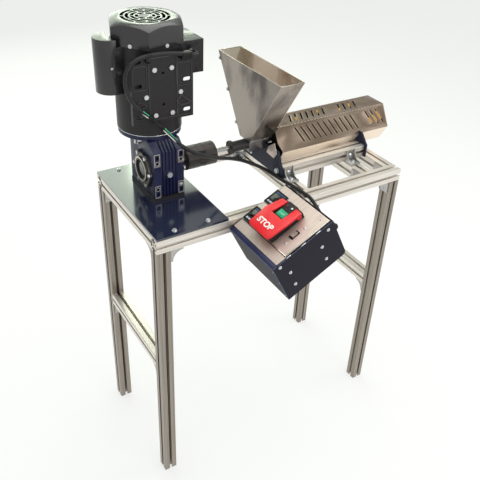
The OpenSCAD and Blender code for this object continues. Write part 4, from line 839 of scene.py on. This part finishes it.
class EXTRUDER_OT_lead(bpy.types.Operator):
    """Makes the lead from the motor to the control box, its splice, strain reliefs and clip"""
    bl_idname = "extruder.lead"
    bl_label = "Lead"

    def execute(self, context):
        route = [BENCH @ Vector(point) for point in ROUTE]
        lead = cord_curve("motor_lead", route, CORD_RADIUS / 1000, STRIPPED)
        lead.data.materials.append(bpy.data.materials["black_lead_jacket"])
        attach(lead, "machine")
        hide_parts("power_cable")
        fittings = finish(join("lead_fittings", self.relief() + self.gland()), BENCH,
                          ("moulded_black_nylon", "relief_rubber"))
        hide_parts("cable_fittings")
        carried = [
            finish(join("lead_splice", self.splice()), BENCH, NYLON),
            finish(join("lead_green_wires", self.wires(-0.3)), BENCH, ("green_pvc_sleeve", "green_plastic")),
            finish(join("lead_white_wires", self.wires(2.7)), BENCH, ("white_pvc_sleeve", "cable_jacket")),
        ]
        finish(join("lead_clip", self.clip()), BENCH, MOTOR)
        return {"FINISHED"}

    def relief(self):
        """Ribbed boot where the lead leaves the conduit box, with its lock nut."""
        x, y, z = ROUTE[0]
        parts = [rod("boot", (x, CONDUIT_FRONT + 0.5, z), (x, y, z), 8.0, 24, 0.3, 5.7),
                 rod("nut", (x, CONDUIT_FRONT + 0.5, z), (x, CONDUIT_FRONT - 4, z), 11, 6, 0.5)]
        for rib in range(5):
            at = CONDUIT_FRONT - 6 - rib * 3.2
            parts.append(ring("rib", (x, at, z), (0, 1, 0), 7.1 - rib * 0.36, 0.9, 24))
        return parts

    def gland(self):
        """Right angled gland on the box's upper end wall."""
        turn = math.radians(BOX_TILT)
        out = Vector((math.cos(turn), 0, math.sin(turn)))
        elbow = Vector(ELBOW)
        wall = elbow - GLAND_OUT * out
        parts = [rod("nut", wall, wall + 6 * out, 12, 6, 0.6),
                 rod("neck", wall + 5 * out, elbow, 8.2, 24, 0.3),
                 rod("collar", wall + 8 * out, wall + 12 * out, 9.6, 24, 0.6)]
        deselect()
        bpy.ops.mesh.primitive_uv_sphere_add(segments=24, ring_count=12, radius=9.4, location=elbow)
        parts.append(bpy.context.object)
        end = Vector(ROUTE[-1])
        parts.append(rod("boot", elbow, end, 8.4, 24, 0.3, 5.7))
        for rib in range(5):
            at = elbow + Vector((0, 11 + rib * 3.4, 0))
            parts.append(ring("rib", at, (0, 1, 0), 7.6 - rib * 0.38, 0.9, 24))
        return parts

    def splice(self):
        """Black connector in the stripped stretch of the lead."""
        points = [Vector(p) for p in ROUTE[14:17]]
        start, middle, end = points[0].lerp(points[1], 0.35), points[1], points[1].lerp(points[2], 0.95)
        along = (end - start).normalized()
        latch = middle + Vector((0, -6.6, 2))
        return [rod("half", start, middle + along, 6.2, 24, 1.2, 5.6),
                rod("half", middle - along, end, 5.6, 24, 1.2, 6.4),
                ring("seal", middle, along, 5.4, 1.2, 24),
                ring("seal", start + 6 * along, along, 6.0, 0.8, 24),
                ring("seal", end - 6 * along, along, 6.0, 0.8, 24),
                rod("latch", latch - 9 * along, latch + 9 * along, 2.0, 16, 0.7)]

    def wires(self, start):
        """Wires that wind round each other on both sides of the splice."""
        made = []
        for first, last in ((13.62, 14.45), (15.85, 17.35)):
            points = []
            for step in range(9):
                at = first + (last - first) * step / 8
                i = int(at)
                here = Vector(ROUTE[i]).lerp(Vector(ROUTE[i + 1]), at - i)
                along = (Vector(ROUTE[i + 1]) - Vector(ROUTE[i])).normalized()
                side = along.cross(Vector((0, 1, 0))).normalized()
                angle = start + step * 0.1
                points.append(here + 2.3 * (math.cos(angle) * side + math.sin(angle) * side.cross(along)))
            made.append(tube("wire", points, 2.0))
        return made

    def clip(self):
        """Clamp that holds the lead to the top of the foot plate."""
        x, y, z = ROUTE[6]
        return [ring("band", (x - 6, y, z - 0.3), (1, 0, 0), 5.6, 1.0, 24),
                ring("band", (x + 2, y, z), (1, 0, 0), 5.6, 1.0, 24),
                block("strap", (x - 7, y - 0.5, z - 20), (x + 3, FOOT_FACE, z - 18.5), 0.4),
                block("tail", (x - 7, y + 4.4, z - 20), (x + 3, y + 6.2, z - 2), 0.4)]


class EXTRUDER_OT_motor(bpy.types.Operator):
    """Rounds the motor's covers and adds its register band, foot plate pressing and screws"""
    bl_idname = "extruder.motor"
    bl_label = "Motor trim"

    def execute(self, context):
        for node, width, look in (("fan_cover", 2.6, COVER), ("capacitor_cover", 2.4, COVER),
                                  ("conduit_box", 1.6, COVER), ("conduit_lid", 1.6, MOTOR)):
            softened(node, node + "_soft", width, look)
        middle = (MOTOR_X, MOTOR_Y, REGISTER_Z)
        finish(ring("motor_register", middle, (0, 0, 1), MOTOR_R - 0.6, 1.1, 96), BENCH, ZINC)
        finish(join("foot_plate_pressing", self.pressing()), on_front(FOOT_FACE), COVER)
        corners = ((203, 1207), (233, 1276), (203, 1276), (233, 1207))
        screws = [screw("cover_screw", x, z, 0, 3.0, 1.8) for x, z in corners]
        finish(join("conduit_lid_screws", screws), on_front(CONDUIT_FRONT), OXIDE)
        finish(join("lead_clamp", self.clamp()), BENCH, NYLON)
        finish(screw("capacitor_screw", 9, 1238, 0, 3.6, 2.2), on_front(CAPACITOR_FACE), ZINC)
        return {"FINISHED"}

    def pressing(self):
        """Raised middle panel, recesses, gussets and the rims of the plate's slots."""
        parts = [frame_piece("panel_bead", rounded((77, 1110), (155, 1270), 7),
                             rounded((79.6, 1112.6), (152.4, 1267.4), 5), -0.2, 1.5, 0.5)]
        for low, high in (((36, 1193), (74, 1254)), ((151, 1189), (194, 1250)), ((151, 1110), (194, 1139))):
            inside = (low[0] + 2, low[1] + 2), (high[0] - 2, high[1] - 2)
            parts.append(frame_piece("recess_bead", rounded(low, high, 8), rounded(*inside, 6.5),
                                     -0.2, 1.5, 0.6))
        for corners in (((163.4, 1167.7), (149.3, 1152.5), (159.5, 1138.4), (194, 1142)),
                        ((50.2, 1167.3), (44.5, 1158), (57.9, 1144), (72, 1152.6))):
            middle = sum((Vector(c) for c in corners), Vector((0, 0))) / 4
            inner = [tuple(middle.lerp(Vector(c), 0.74)) for c in corners]
            parts.append(frame_piece("gusset", list(corners), inner, -0.2, 2.4, 0.7))
        for side in (-1, 1):
            for z in (1124.6, 1204.4, 1263.7):
                rim = ring("slot_rim", (0, 0, 0), (0, 0, 1), 6.2, 0.8, 32)
                for vertex in rim.data.vertices:
                    vertex.co.x += math.copysign(5.4, vertex.co.x)
                rim.location = (MOTOR_X + side * 65, z, 0.2)
                parts.append(rim)
        return parts

    def clamp(self):
        """Ribbed clamp that holds the lead to the foot plate's upper corner."""
        parts = [block("body", (159, 164.2, 1259.5), (189, FOOT_FACE, 1277), 2.2)]
        for i in range(5):
            parts.append(block("rib", (162 + i * 5.4, 163.2, 1261.5), (164 + i * 5.4, 165, 1275), 0.5))
        return parts


class EXTRUDER_OT_gearbox(bpy.types.Operator):
    """Recuts the casting's fins and pads and adds its machined faces, seal, breather, and black discs as
    painted shade for its rivet holes
    """
    bl_idname = "extruder.gearbox"
    bl_label = "Gearbox trim"

    def execute(self, context):
        softened("gearbox_housing", "gearbox_body", 0.5, ("blue_casting_enamel", "gearbox_enamel"),
                 steps=2, cuts=self.casting())
        finish(join("gearbox_pads", self.pads()), on_front(PAD_FACE),
               ("tumbled_cast_aluminium", "bare_casting"))
        plug = rod("gearbox_pad_plug", (149.7, 923.6, -3), (149.7, 923.6, 1.4), 4.6, 24, 0.6)
        finish(plug, on_front(PAD_FACE), ZINC)
        rim = [washer("rim", (-SCREW_Y, SCREW_Z), 34.2, 30.4, -0.1, 0.5, 72)]
        finish(join("gearbox_cover_rim", rim), on_left(GEARBOX_COVER_X), ("worn_bright_edge", "bare_casting"))
        face = washer("output_sleeve_face", (-SCREW_Y, SCREW_Z), 17.2, 12.7, -0.3, 0.3, 48)
        finish(face, on_left(left_end("worm_wheel")), ("turned_steel", "bright_steel"), "screw_line")
        seal = [washer("seal", (-SCREW_Y, SCREW_Z), 26.2, 17.9, -0.6, 0.5),
                washer("lip", (-SCREW_Y, SCREW_Z), 20.0, 17.9, 0.4, 1.2)]
        finish(join("gearbox_seal", seal), on_left(SEAL_FACE_X), ("nitrile_rubber", "spider_rubber"))
        # Black discs stand for the rivet holes: painted shade
        marks = [rod("mark", (x, 161.4, 960), (x, 162.2, 960), 2.3, 16, 0.2) for x in (141, 150)]
        finish(join("gearbox_rivet_hole_shade", marks), BENCH, NYLON)
        finish(join("gearbox_breather", self.breather()), BENCH, ZINC)
        return {"FINISHED"}

    def casting(self):
        """Turns the lower pads over, and runs the fins down the face and up the shoulder."""
        def upright(name, x, half, outline):
            place = BENCH @ Matrix.Translation((x, 0, 0)) @ ACROSS
            return apply_place(plate(name, outline, -half, half, 0), place)

        def oblong(low, high):
            return [low, (high[0], low[1]), high, (low[0], high[1])]

        pads = (82.03, 149.97)
        fill = oblong((160.3, 902), (168.6, 928))
        steps = [(upright("fill", x, 4.6, fill), "UNION") for x in pads]
        pocket = oblong((159, 904.4), (167, 913.6))
        for x in pads:
            bore = rod("bore", (x, 159, 923.6), (x, 168, 923.6), 3.97, 32, 0)
            steps.append((upright("pocket", x, 3.97, pocket), "DIFFERENCE"))
            steps.append((apply_place(bore, BENCH), "DIFFERENCE"))
        shoulder = [(150, 1024), (165.7, 1024), (190, 1044.5), (190, 1060)]
        for i in range(-2, 3):
            # The outer two fins run up past the middle of the face
            face = oblong((158, 895), (165.7, 975 if abs(i) == 2 else 949.7))
            for outline in (face, shoulder):
                steps.append((upright("groove", MOTOR_X + i * FIN_PITCH, FIN_GROOVE, outline), "DIFFERENCE"))
        return steps

    def pads(self):
        """Machined rims and bolt seats of the four pads."""
        parts = []
        for x in (82.3, 149.7):
            for z, lift in ((916.2, 7.4), (1007.8, -8.4)):
                low, high = (x - 8.6, z - 18.4), (x + 8.6, z + 18.4)
                inside = (low[0] + 2.6, low[1] + 2.6), (high[0] - 2.6, high[1] - 2.6)
                rim = frame_piece("rim", rounded(low, high, 1.5), rounded(*inside, 1.0), -0.1, 0.35, 0.12)
                parts.append(rim)
                parts.append(washer("seat", (x, z + lift), 6.6, 4.1, -0.1, 0.35, 32, 0.12))
        return parts

    def breather(self):
        """Elbow breather high on the casting's motor side face."""
        foot = Vector((73.2, 254, 1024))
        bend = foot + Vector((-7.5, 0, 0))
        deselect()
        bpy.ops.mesh.primitive_uv_sphere_add(segments=20, ring_count=12, radius=4.4, location=bend)
        ball = bpy.context.object
        return [rod("nut", foot, foot + Vector((-3.5, 0, 0)), 6.5, 6, 0.4),
                rod("neck", foot, bend, 3.8, 20, 0.3), ball,
                rod("stem", bend, bend + Vector((0, 0, 11)), 3.8, 20, 0.3),
                rod("cap", bend + Vector((0, 0, 9)), bend + Vector((0, 0, 14)), 5.6, 20, 1.0)]


class EXTRUDER_OT_drive_line(bpy.types.Operator):
    """Adds the coupling's set screws and turned grooves and the bearing tube's collar screws"""
    bl_idname = "extruder.drive_line"
    bl_label = "Drive line trim"

    def execute(self, context):
        axis = Vector((0, SCREW_Y, SCREW_Z))
        screws, rims = [], []
        for x, turn in ((207, 40), (262, 75)):
            out = Vector((0, -math.cos(math.radians(turn)), math.sin(math.radians(turn))))
            at = axis + Vector((x, 0, 0)) + 32.0 * out
            screws.append(rod("set_screw", at - 2 * out, at + 0.6 * out, 3.4, 20, 0.3))
        for x in (191.2, 224.0, 244.8, 277.6):
            rims.append(ring("rim", axis + Vector((x, 0, 0)), (1, 0, 0), 31.4, 1.25, 64))
        finish(join("coupling_set_screws", screws), BENCH, OXIDE, "screw_line")
        finish(join("coupling_rims", rims), BENCH, ("black_oxide_steel", "sintered_iron"), "screw_line")
        collars = [ring("collar", axis + Vector((x, 0, 0)), (1, 0, 0), 15.5, 0.9, 48) for x in (342.4, 386)]
        for turn in (30, 150, 270):
            out = Vector((0, math.cos(math.radians(turn)), math.sin(math.radians(turn))))
            at = axis + Vector((BEARING_FACE_X, 0, 0)) + 17.4 * out
            collars.append(rod("screw", at, at + Vector((-1.6, 0, 0)), 2.2, 6, 0.2))
        finish(join("bearing_collars", collars), BENCH, OXIDE)
        return {"FINISHED"}


class EXTRUDER_OT_feed(bpy.types.Operator):
    """Adds the hopper's seams, rim and screws, the feed plate's tab and its bolts"""
    bl_idname = "extruder.feed"
    bl_label = "Feed trim"

    def execute(self, context):
        seams = []
        for x in (385.9, 459.1):
            for side in (-1, 1):
                low = Vector((x, SCREW_Y + side * 27.2, 981.4))
                high = Vector((x, SCREW_Y + side * 157.2, 1189.2))
                seams.append(rod("weld", low, high, 0.9, 10, 0))
        for low, high in (((385, 64), (386.5, 380)), ((458.5, 64), (460, 380)), ((386.5, 64), (458.5, 65.8)),
                          ((386.5, 378.2), (458.5, 380))):
            seams.append(block("rim", (*low, 1189.7), (*high, 1190.2), 0.15))
        # The welds and top rims are real, and their bright tone is a painted highlight on the hopper's
        # corners and top edges
        finish(join("hopper_seams", seams), BENCH, ("worn_bright_edge", "sheet_steel"))
        heads = []
        for y, z in ((274, 1009.8), (324.6, 1091.3), (372.6, 1168.7)):
            heads.append(rod("head", (385.2, y, z), (382.4, y, z), 3.4, 20, 0.7))
            heads.append(rod("nut", (386.4, y, z), (389.4, y, z), 3.4, 6, 0.3))
        finish(join("hopper_screws", heads), BENCH, ZINC)
        corners = [(-159, 978), (-186, 958), (-195, 934), (-157, 931), (-144, 950)]
        tab = plate("feed_plate_tab", corners, 0, 2, 0.4)
        bolt = screw("tab_bolt", -168, 952, 2, 5, 2.6)
        finish(tab, on_left(FEED_PLATE_X), ("brushed_warm_panel", "panel_paint"))
        bolts = [bolt, screw("plate_bolt", -279, 899, 0, 6, 4),
                 washer("plate_washer", (-279, 899), 8.2, 4, -0.1, 1.0, 32)]
        finish(join("feed_plate_bolts", bolts), on_left(FEED_PLATE_X), ZINC)
        # Black discs stand for the plate's holes: painted shade
        holes = [rod("hole", (-y, z, -0.2), (-y, z, 0.25), 2.4, 20, 0.1)
                 for y, z in ((208, 900.5), (209, 938), (236, 900.5))]
        finish(join("feed_plate_hole_shade", holes), on_left(FEED_PLATE_X), NYLON)
        return {"FINISHED"}


class EXTRUDER_OT_hood(bpy.types.Operator):
    """Punches the hood's slots and adds painted highlights on its perforated folds, its lap, a dark backing
    as painted shade under the slots, and heater leads
    """
    bl_idname = "extruder.hood"
    bl_label = "Hood trim"

    def execute(self, context):
        dashes = []
        # Bright dashes along the folds stand for the perforations, as painted highlight
        first = block("dash", (0, -0.6, -0.6), (6.5, 0.6, 0.6), 0.2)
        folds = ((148.7, 946.2), (295.3, 946.2), (185.4, 1009.7), (258.6, 1009.7))
        for y, z in folds:
            for i in range(33):
                dash = first.copy()
                dash.data = first.data.copy()
                dash.location = (472 + i * 12.2, y, z)
                context.scene.collection.objects.link(dash)
                dashes.append(dash)
        bpy.data.objects.remove(first)
        softened("heat_hood", "heat_hood_sheet", 0.35, ("heat_tinted_stainless", "hood_sheet"), steps=2,
                 cuts=[(self.slots(), "DIFFERENCE")])
        finish(join("hood_fold_slit_highlights", dashes), BENCH, ("worn_bright_edge", "hood_sheet"), smooth=False)
        finish(join("hood_lap", self.lap()), BENCH, ("heat_tinted_stainless", "hood_sheet"))
        finish(join("heater_leads", self.leads()), BENCH, ("yellow_fibreglass_sleeve", "heater_brass"))
        finish(self.shade_backing(), BENCH, ("dark_backing_cloth", "black_nylon"))
        return {"FINISHED"}

    def shade_backing(self):
        """Folded dark sheet under the three slotted faces, clear of the leads: painted shade, so the slots
        read dark.
        """
        outer = [(183, 905), (158.5, 949), (189.5, 1002.5), (254.5, 1002.5), (285.5, 949), (261, 905)]
        inner = [(259, 906), (283.2, 949), (253.3, 1000.5), (190.7, 1000.5), (160.8, 949), (185, 906)]
        backing_sheet = plate("backing_sheet", outer + inner, 468, 862, 0)
        axis = Vector((SCREW_Y, SCREW_Z))
        hole = [tuple(axis + (Vector(corner) - axis).normalized() * 23) for corner in outer]
        end = frame_piece("end", outer, hole, 466, 468.5, 0)
        return apply_place(join("hood_shade_backing", [backing_sheet, end]), ACROSS)

    def lap(self):
        """Edge of the second sheet, which laps over the first."""
        parts = []
        for flip in (1, -1):
            def at(y, z, out):
                lean = math.radians(60)
                across = SCREW_Y - y + out * math.sin(lean)
                return (LAP_X, SCREW_Y - flip * across, z + out * math.cos(lean))
            parts.append(rod("edge", at(149.6, 947.7, 0.1), at(184.4, 1008, 0.1), 0.55, 8, 0))
        parts.append(rod("edge", (LAP_X, 186, 1009.9), (LAP_X, 258, 1009.9), 0.55, 8, 0))
        return parts

    def faces(self):
        """The slotted faces, with x along the hood and y down each face from its upper fold."""
        fold = Matrix.Translation((0, SCREW_Y - HOOD_SIDE / 2, HOOD_TOP))
        far = Matrix.Translation((0, SCREW_Y + HOOD_SIDE / 2, HOOD_TOP))
        return {"front": fold @ Matrix.Rotation(math.radians(240), 4, "X"),
                "back": far @ Matrix.Rotation(math.radians(300), 4, "X"),
                "top": Matrix.Translation((0, SCREW_Y - HOOD_SIDE * 0.45, HOOD_TOP))}

    def slot_x(self, number, down):
        """Middle of a slot, which leans as it goes down its face."""
        low, high = (corner[0] * 1000 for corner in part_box("heat_hood"))
        first = low - CORNER[0] * 1000 + (high - low) * SLOT_START
        pitch = (high - low) * SLOT_PITCH
        return first + (number + SLOT_OFFSET) * pitch + HOOD_LEAN * (down - SLOT_FROM) / (SLOT_TO - SLOT_FROM)

    def slots(self):
        """The sheet's slots at their punched width, with round ends."""
        tools = []
        for name, place in self.faces().items():
            for number in TOP_SLOTS if name == "top" else FRONT_SLOTS:
                outline = []
                for down, turn in ((SLOT_TO - 1.2, 0), (SLOT_FROM + 1.2, 180)):
                    middle = self.slot_x(number, down)
                    for step in range(7):
                        angle = math.radians(turn + step * 30)
                        outline.append((middle + SLOT_HALF * math.cos(angle),
                                        down + SLOT_HALF * math.sin(angle)))
                tools.append(apply_place(plate("slot", outline, -5, 5, 0), BENCH @ place))
        return join("slots", tools)

    def leads(self):
        """Fibreglass sleeved leads that show through some of the slots."""
        made = []
        for name, number, top, foot in (
                ("front", 13, 36, 50), ("front", 14, 30, 50), ("front", 15, 22, 44),
                ("top", 1, 20, 34), ("top", 5, 36, 50), ("top", 9, 16, 30), ("top", 11, 30, 46)):
            inwards = -1 if name == "top" else 1
            bow = ((top - 3, 5.5), (top, 1.7), ((top + foot) / 2, 1.3), (foot, 1.7), (foot + 3, 5.5))
            points = [Vector((self.slot_x(number, down), down, inwards * depth)) for down, depth in bow]
            made.append(tube("lead", [self.faces()[name] @ point for point in points], 1.75))
        return made


class EXTRUDER_OT_dials(bpy.types.Operator):
    """Makes the two temperature controllers' faces"""
    bl_idname = "extruder.dials"
    bl_label = "Controller faces"

    def execute(self, context):
        windows, digits, strips, keys, ticks = [], [], [], [], []
        far, near, sunk = -DIAL_V - 42.8, -DIAL_V - 5.2, DIAL_TOP - 2.2
        for u in DIAL_U:
            windows.append(plate("window", rounded((u + 16.5, far), (u + 38.5, near), 1.2),
                                 sunk, DIAL_TOP - 0.5, 0.3))
            strips.append(plate("strip", rounded((u + 40.4, far), (u + 42.6, near), 0.8),
                                sunk, DIAL_TOP - 0.6, 0.2))
            for at, tall in ((u + 28.4, 8.0), (u + 18.6, 6.4)):
                # The first of the four digits is dark
                for place, sign in enumerate("180", 1):
                    digits += self.digit(sign, at, DIAL_V + 9.5 + place * 7.6, tall * 0.55, tall)
            for i in range(4):
                v = DIAL_V + 6.4 + i * 9.4
                keys.append(plate("key", rounded((u + 5.6, -v - 7.0), (u + 10.6, -v), 1.2),
                                  sunk, DIAL_TOP + 0.1, 0.4))
                ticks.append(plate("tick", rounded((u + 12.6, -v - 4.4), (u + 13.8, -v - 2.4), 0.3),
                                   sunk, DIAL_TOP - 1.9, 0.05))
        finish(join("dial_windows", windows), PANEL, ("dark_acrylic_window", "black_nylon"))
        finish(join("dial_strips", strips), PANEL, ("blue_polyester_film", "black_nylon"))
        finish(join("dial_digits", digits), PANEL, ("unlit_segment_epoxy", "black_nylon"))
        finish(join("dial_keys", keys), PANEL, ("pale_silicone", "switch_grey"))
        finish(join("dial_ticks", ticks), PANEL, ("white_pad_print", "switch_grey"))
        return {"FINISHED"}

    def digit(self, sign, u, v, wide, tall):
        """Seven bars. u is the digit's foot and v its left side."""
        middle, thick = tall / 2, tall * 0.13
        inset = thick * 0.7
        bars = {"a": ((tall, 0), (tall, wide)), "g": ((middle, 0), (middle, wide)), "d": ((0, 0), (0, wide)),
                "f": ((middle, 0), (tall, 0)), "b": ((middle, wide), (tall, wide)),
                "e": ((0, 0), (middle, 0)), "c": ((0, wide), (middle, wide))}
        lit = {"1": "bc", "8": "abcdefg", "0": "abcdef"}[sign]
        made = []
        for bar in lit:
            (u0, v0), (u1, v1) = bars[bar]
            low = (u + min(u0, u1) - thick / 2 + (inset if u0 != u1 else 0),
                   -(v + max(v0, v1)) - thick / 2 + (inset if v0 != v1 else 0))
            high = (u + max(u0, u1) + thick / 2 - (inset if u0 != u1 else 0),
                    -(v + min(v0, v1)) + thick / 2 - (inset if v0 != v1 else 0))
            made.append(plate("bar", rounded(low, high, thick * 0.3, 1), DIAL_TOP - 0.6, DIAL_TOP - 0.44, 0))
        return made


class EXTRUDER_OT_switch(bpy.types.Operator):
    """Rounds the stop paddle and adds its lettering, the start lettering, the lamp and the screw"""
    bl_idname = "extruder.switch"
    bl_label = "Stop switch"

    def execute(self, context):
        softened("stop_paddle", "stop_paddle_soft", 1.5, ("red_moulded_abs", "red_plastic"), "paddle")
        softened("start_button", "start_button_soft", 1.0, ("green_moulded_abs", "green_plastic"),
                 "button")
        stop = lettering("stop_lettering", "STOP", (57, 72), 60, 17, PADDLE_TOP - 0.15, 0.5, 0.035)
        finish(stop, PANEL, ("white_pad_print", "red_plastic"), "paddle", smooth=False)
        start = lettering("start_lettering", "START", (111, 92.5), 22, 5.6, BUTTON_TOP - 0.1, 0.35, 0.02)
        finish(start, PANEL, ("worn_pad_print", "green_plastic"), "button", smooth=False)
        finish(screw("switch_screw", 140.5, -112.5, ISLAND_TOP, 3.2, 1.7, False), PANEL, ZINC)
        u, v = 139.5, -93.5
        lamp = rod("stop_lamp", (u, v, ISLAND_TOP - 0.2), (u, v, ISLAND_TOP + 0.7), 2.4, 24, 0.5)
        finish(lamp, PANEL, ("dark_red_acrylic", "red_plastic"))
        rims = [washer("lamp_rim", (u, v), 4.2, 2.6, ISLAND_TOP - 0.1, ISLAND_TOP + 0.8, 32),
                frame_piece("recess_rim", rounded((127.5, -119), (136.5, -88.5), 1.2),
                            rounded((128.7, -117.8), (135.3, -89.7), 0.8),
                            ISLAND_TOP - 0.1, ISLAND_TOP + 0.7, 0.2)]
        finish(join("switch_rims", rims), PANEL, ("charcoal_moulded_abs", "switch_grey"))
        return {"FINISHED"}


class EXTRUDER_OT_panel_trim(bpy.types.Operator):
    """Adds the rocker's bezel, the panel's screws and tabs, painted highlights and painted shadows along the
    plate's edges, and the box's pale edges
    """
    bl_idname = "extruder.panel_trim"
    bl_label = "Panel trim"

    def execute(self, context):
        u, v = ROCKER
        bezel = frame_piece("rocker_bezel", rounded((u - 13.6, -v - 8.1), (u + 13.6, -v + 8.1), 1.4),
                            rounded((u - 10.6, -v - 5.9), (u + 10.6, -v + 5.9), 0.8),
                            PANEL_TOP - 0.1, PANEL_TOP + 1.0, 0.3)
        finish(bezel, PANEL, NYLON)
        heads = [screw("panel_screw", *at, PANEL_TOP, 3.1, 1.9, False)
                 for at in ((70.4, -164.3), (130.6, -165.7))]
        finish(join("panel_screws", heads), PANEL, ZINC)
        # A black disc stands for the panel's hole: painted shade
        hole = rod("panel_hole_shade", (172, -177, PANEL_TOP - 0.2), (172, -177, PANEL_TOP + 0.15), 1.6, 20, 0.05)
        finish(hole, PANEL, NYLON)
        tabs = [block("tab", (u - 7, -v - 1.4, -0.8), (u + 7, -v + 1.4, 1.2), 0.2)
                for u in (51, 98, 145) for v in (200.4, 1.6)]
        finish(join("panel_tabs", tabs), PANEL, ZINC)
        # Bright strips along the plate's step and near edge: painted highlight
        edges = [block("step", (44.6, -196.8, PANEL_TOP - 0.4), (46.4, -5.2, PANEL_TOP + 0.12), 0.1),
                 block("near", (46.4, -196.8, PANEL_TOP - 0.4), (186.8, -195.2, PANEL_TOP + 0.12), 0.1)]
        finish(join("panel_edge_highlights", edges), PANEL, ("worn_bright_edge", "panel_paint"))
        # Black strips below the plate's step and near edge: painted shadow
        gaps = [block("gap", (43.0, -197, 1.2), (44.9, -5, 2.3), 0.1),
                block("gap", (44.9, -199.4, 1.2), (186.8, -196.9, 2.3), 0.1)]
        finish(join("panel_gaps", gaps), PANEL, NYLON)
        strip = block("box_front_strip", (0.5, -199.6, -0.2), (14.6, -2.4, 0.25), 0.1)
        finish(strip, PANEL, ("navy_powder_strip", "navy_paint"))
        corner = (0.3, -201.7, 0)
        pale_lines = [rod("pale_line", corner, end, 0.5, 10, 0)
                  for end in ((0.3, -201.7, -128), (0.3, -0.4, 0), (192, -201.7, 0))]
        finish(join("box_pale_edges", pale_lines), PANEL, ("pale_powder_edge", "navy_paint"))
        end_wall = PANEL @ Matrix.Rotation(math.radians(-90), 4, "Y")
        heads = [screw("end_screw", -depth, -side, 0, 2.4, 1.2)
                 for depth in (12, 60, 112) for side in (5, 197)]
        finish(join("end_wall_screws", heads), end_wall, ZINC)
        return {"FINISHED"}


class EXTRUDER_PT_panel(bpy.types.Panel):
    """Lists the steps that dress the machine"""
    bl_label = "Screw extruder"
    bl_idname = "EXTRUDER_PT_panel"
    bl_space_type = "VIEW_3D"
    bl_region_type = "UI"
    bl_category = "Extruder"

    def draw(self, context):
        for group in (context.scene.extruder_camera, context.scene.extruder_colours):
            for name in group.__annotations__:
                self.layout.prop(group, name)
        for step in STEPS:
            self.layout.operator(step.bl_idname)


STEPS = (EXTRUDER_OT_finishes, EXTRUDER_OT_stage, EXTRUDER_OT_lead, EXTRUDER_OT_motor, EXTRUDER_OT_gearbox,
         EXTRUDER_OT_drive_line, EXTRUDER_OT_feed, EXTRUDER_OT_hood, EXTRUDER_OT_dials, EXTRUDER_OT_switch,
         EXTRUDER_OT_panel_trim)
CLASSES = (ExtruderCamera, ExtruderColours, *STEPS, EXTRUDER_PT_panel)


def register():
    for cls in CLASSES:
        bpy.utils.register_class(cls)
    bpy.types.Scene.extruder_camera = bpy.props.PointerProperty(type=ExtruderCamera)
    bpy.types.Scene.extruder_colours = bpy.props.PointerProperty(type=ExtruderColours)


def unregister():
    del bpy.types.Scene.extruder_colours
    del bpy.types.Scene.extruder_camera
    for cls in reversed(CLASSES):
        bpy.utils.unregister_class(cls)


def main():
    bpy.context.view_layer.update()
    register()
    for step in STEPS:
        group, name = step.bl_idname.split(".")
        getattr(getattr(bpy.ops, group), name)()


if __name__ == "__main__":
    main()
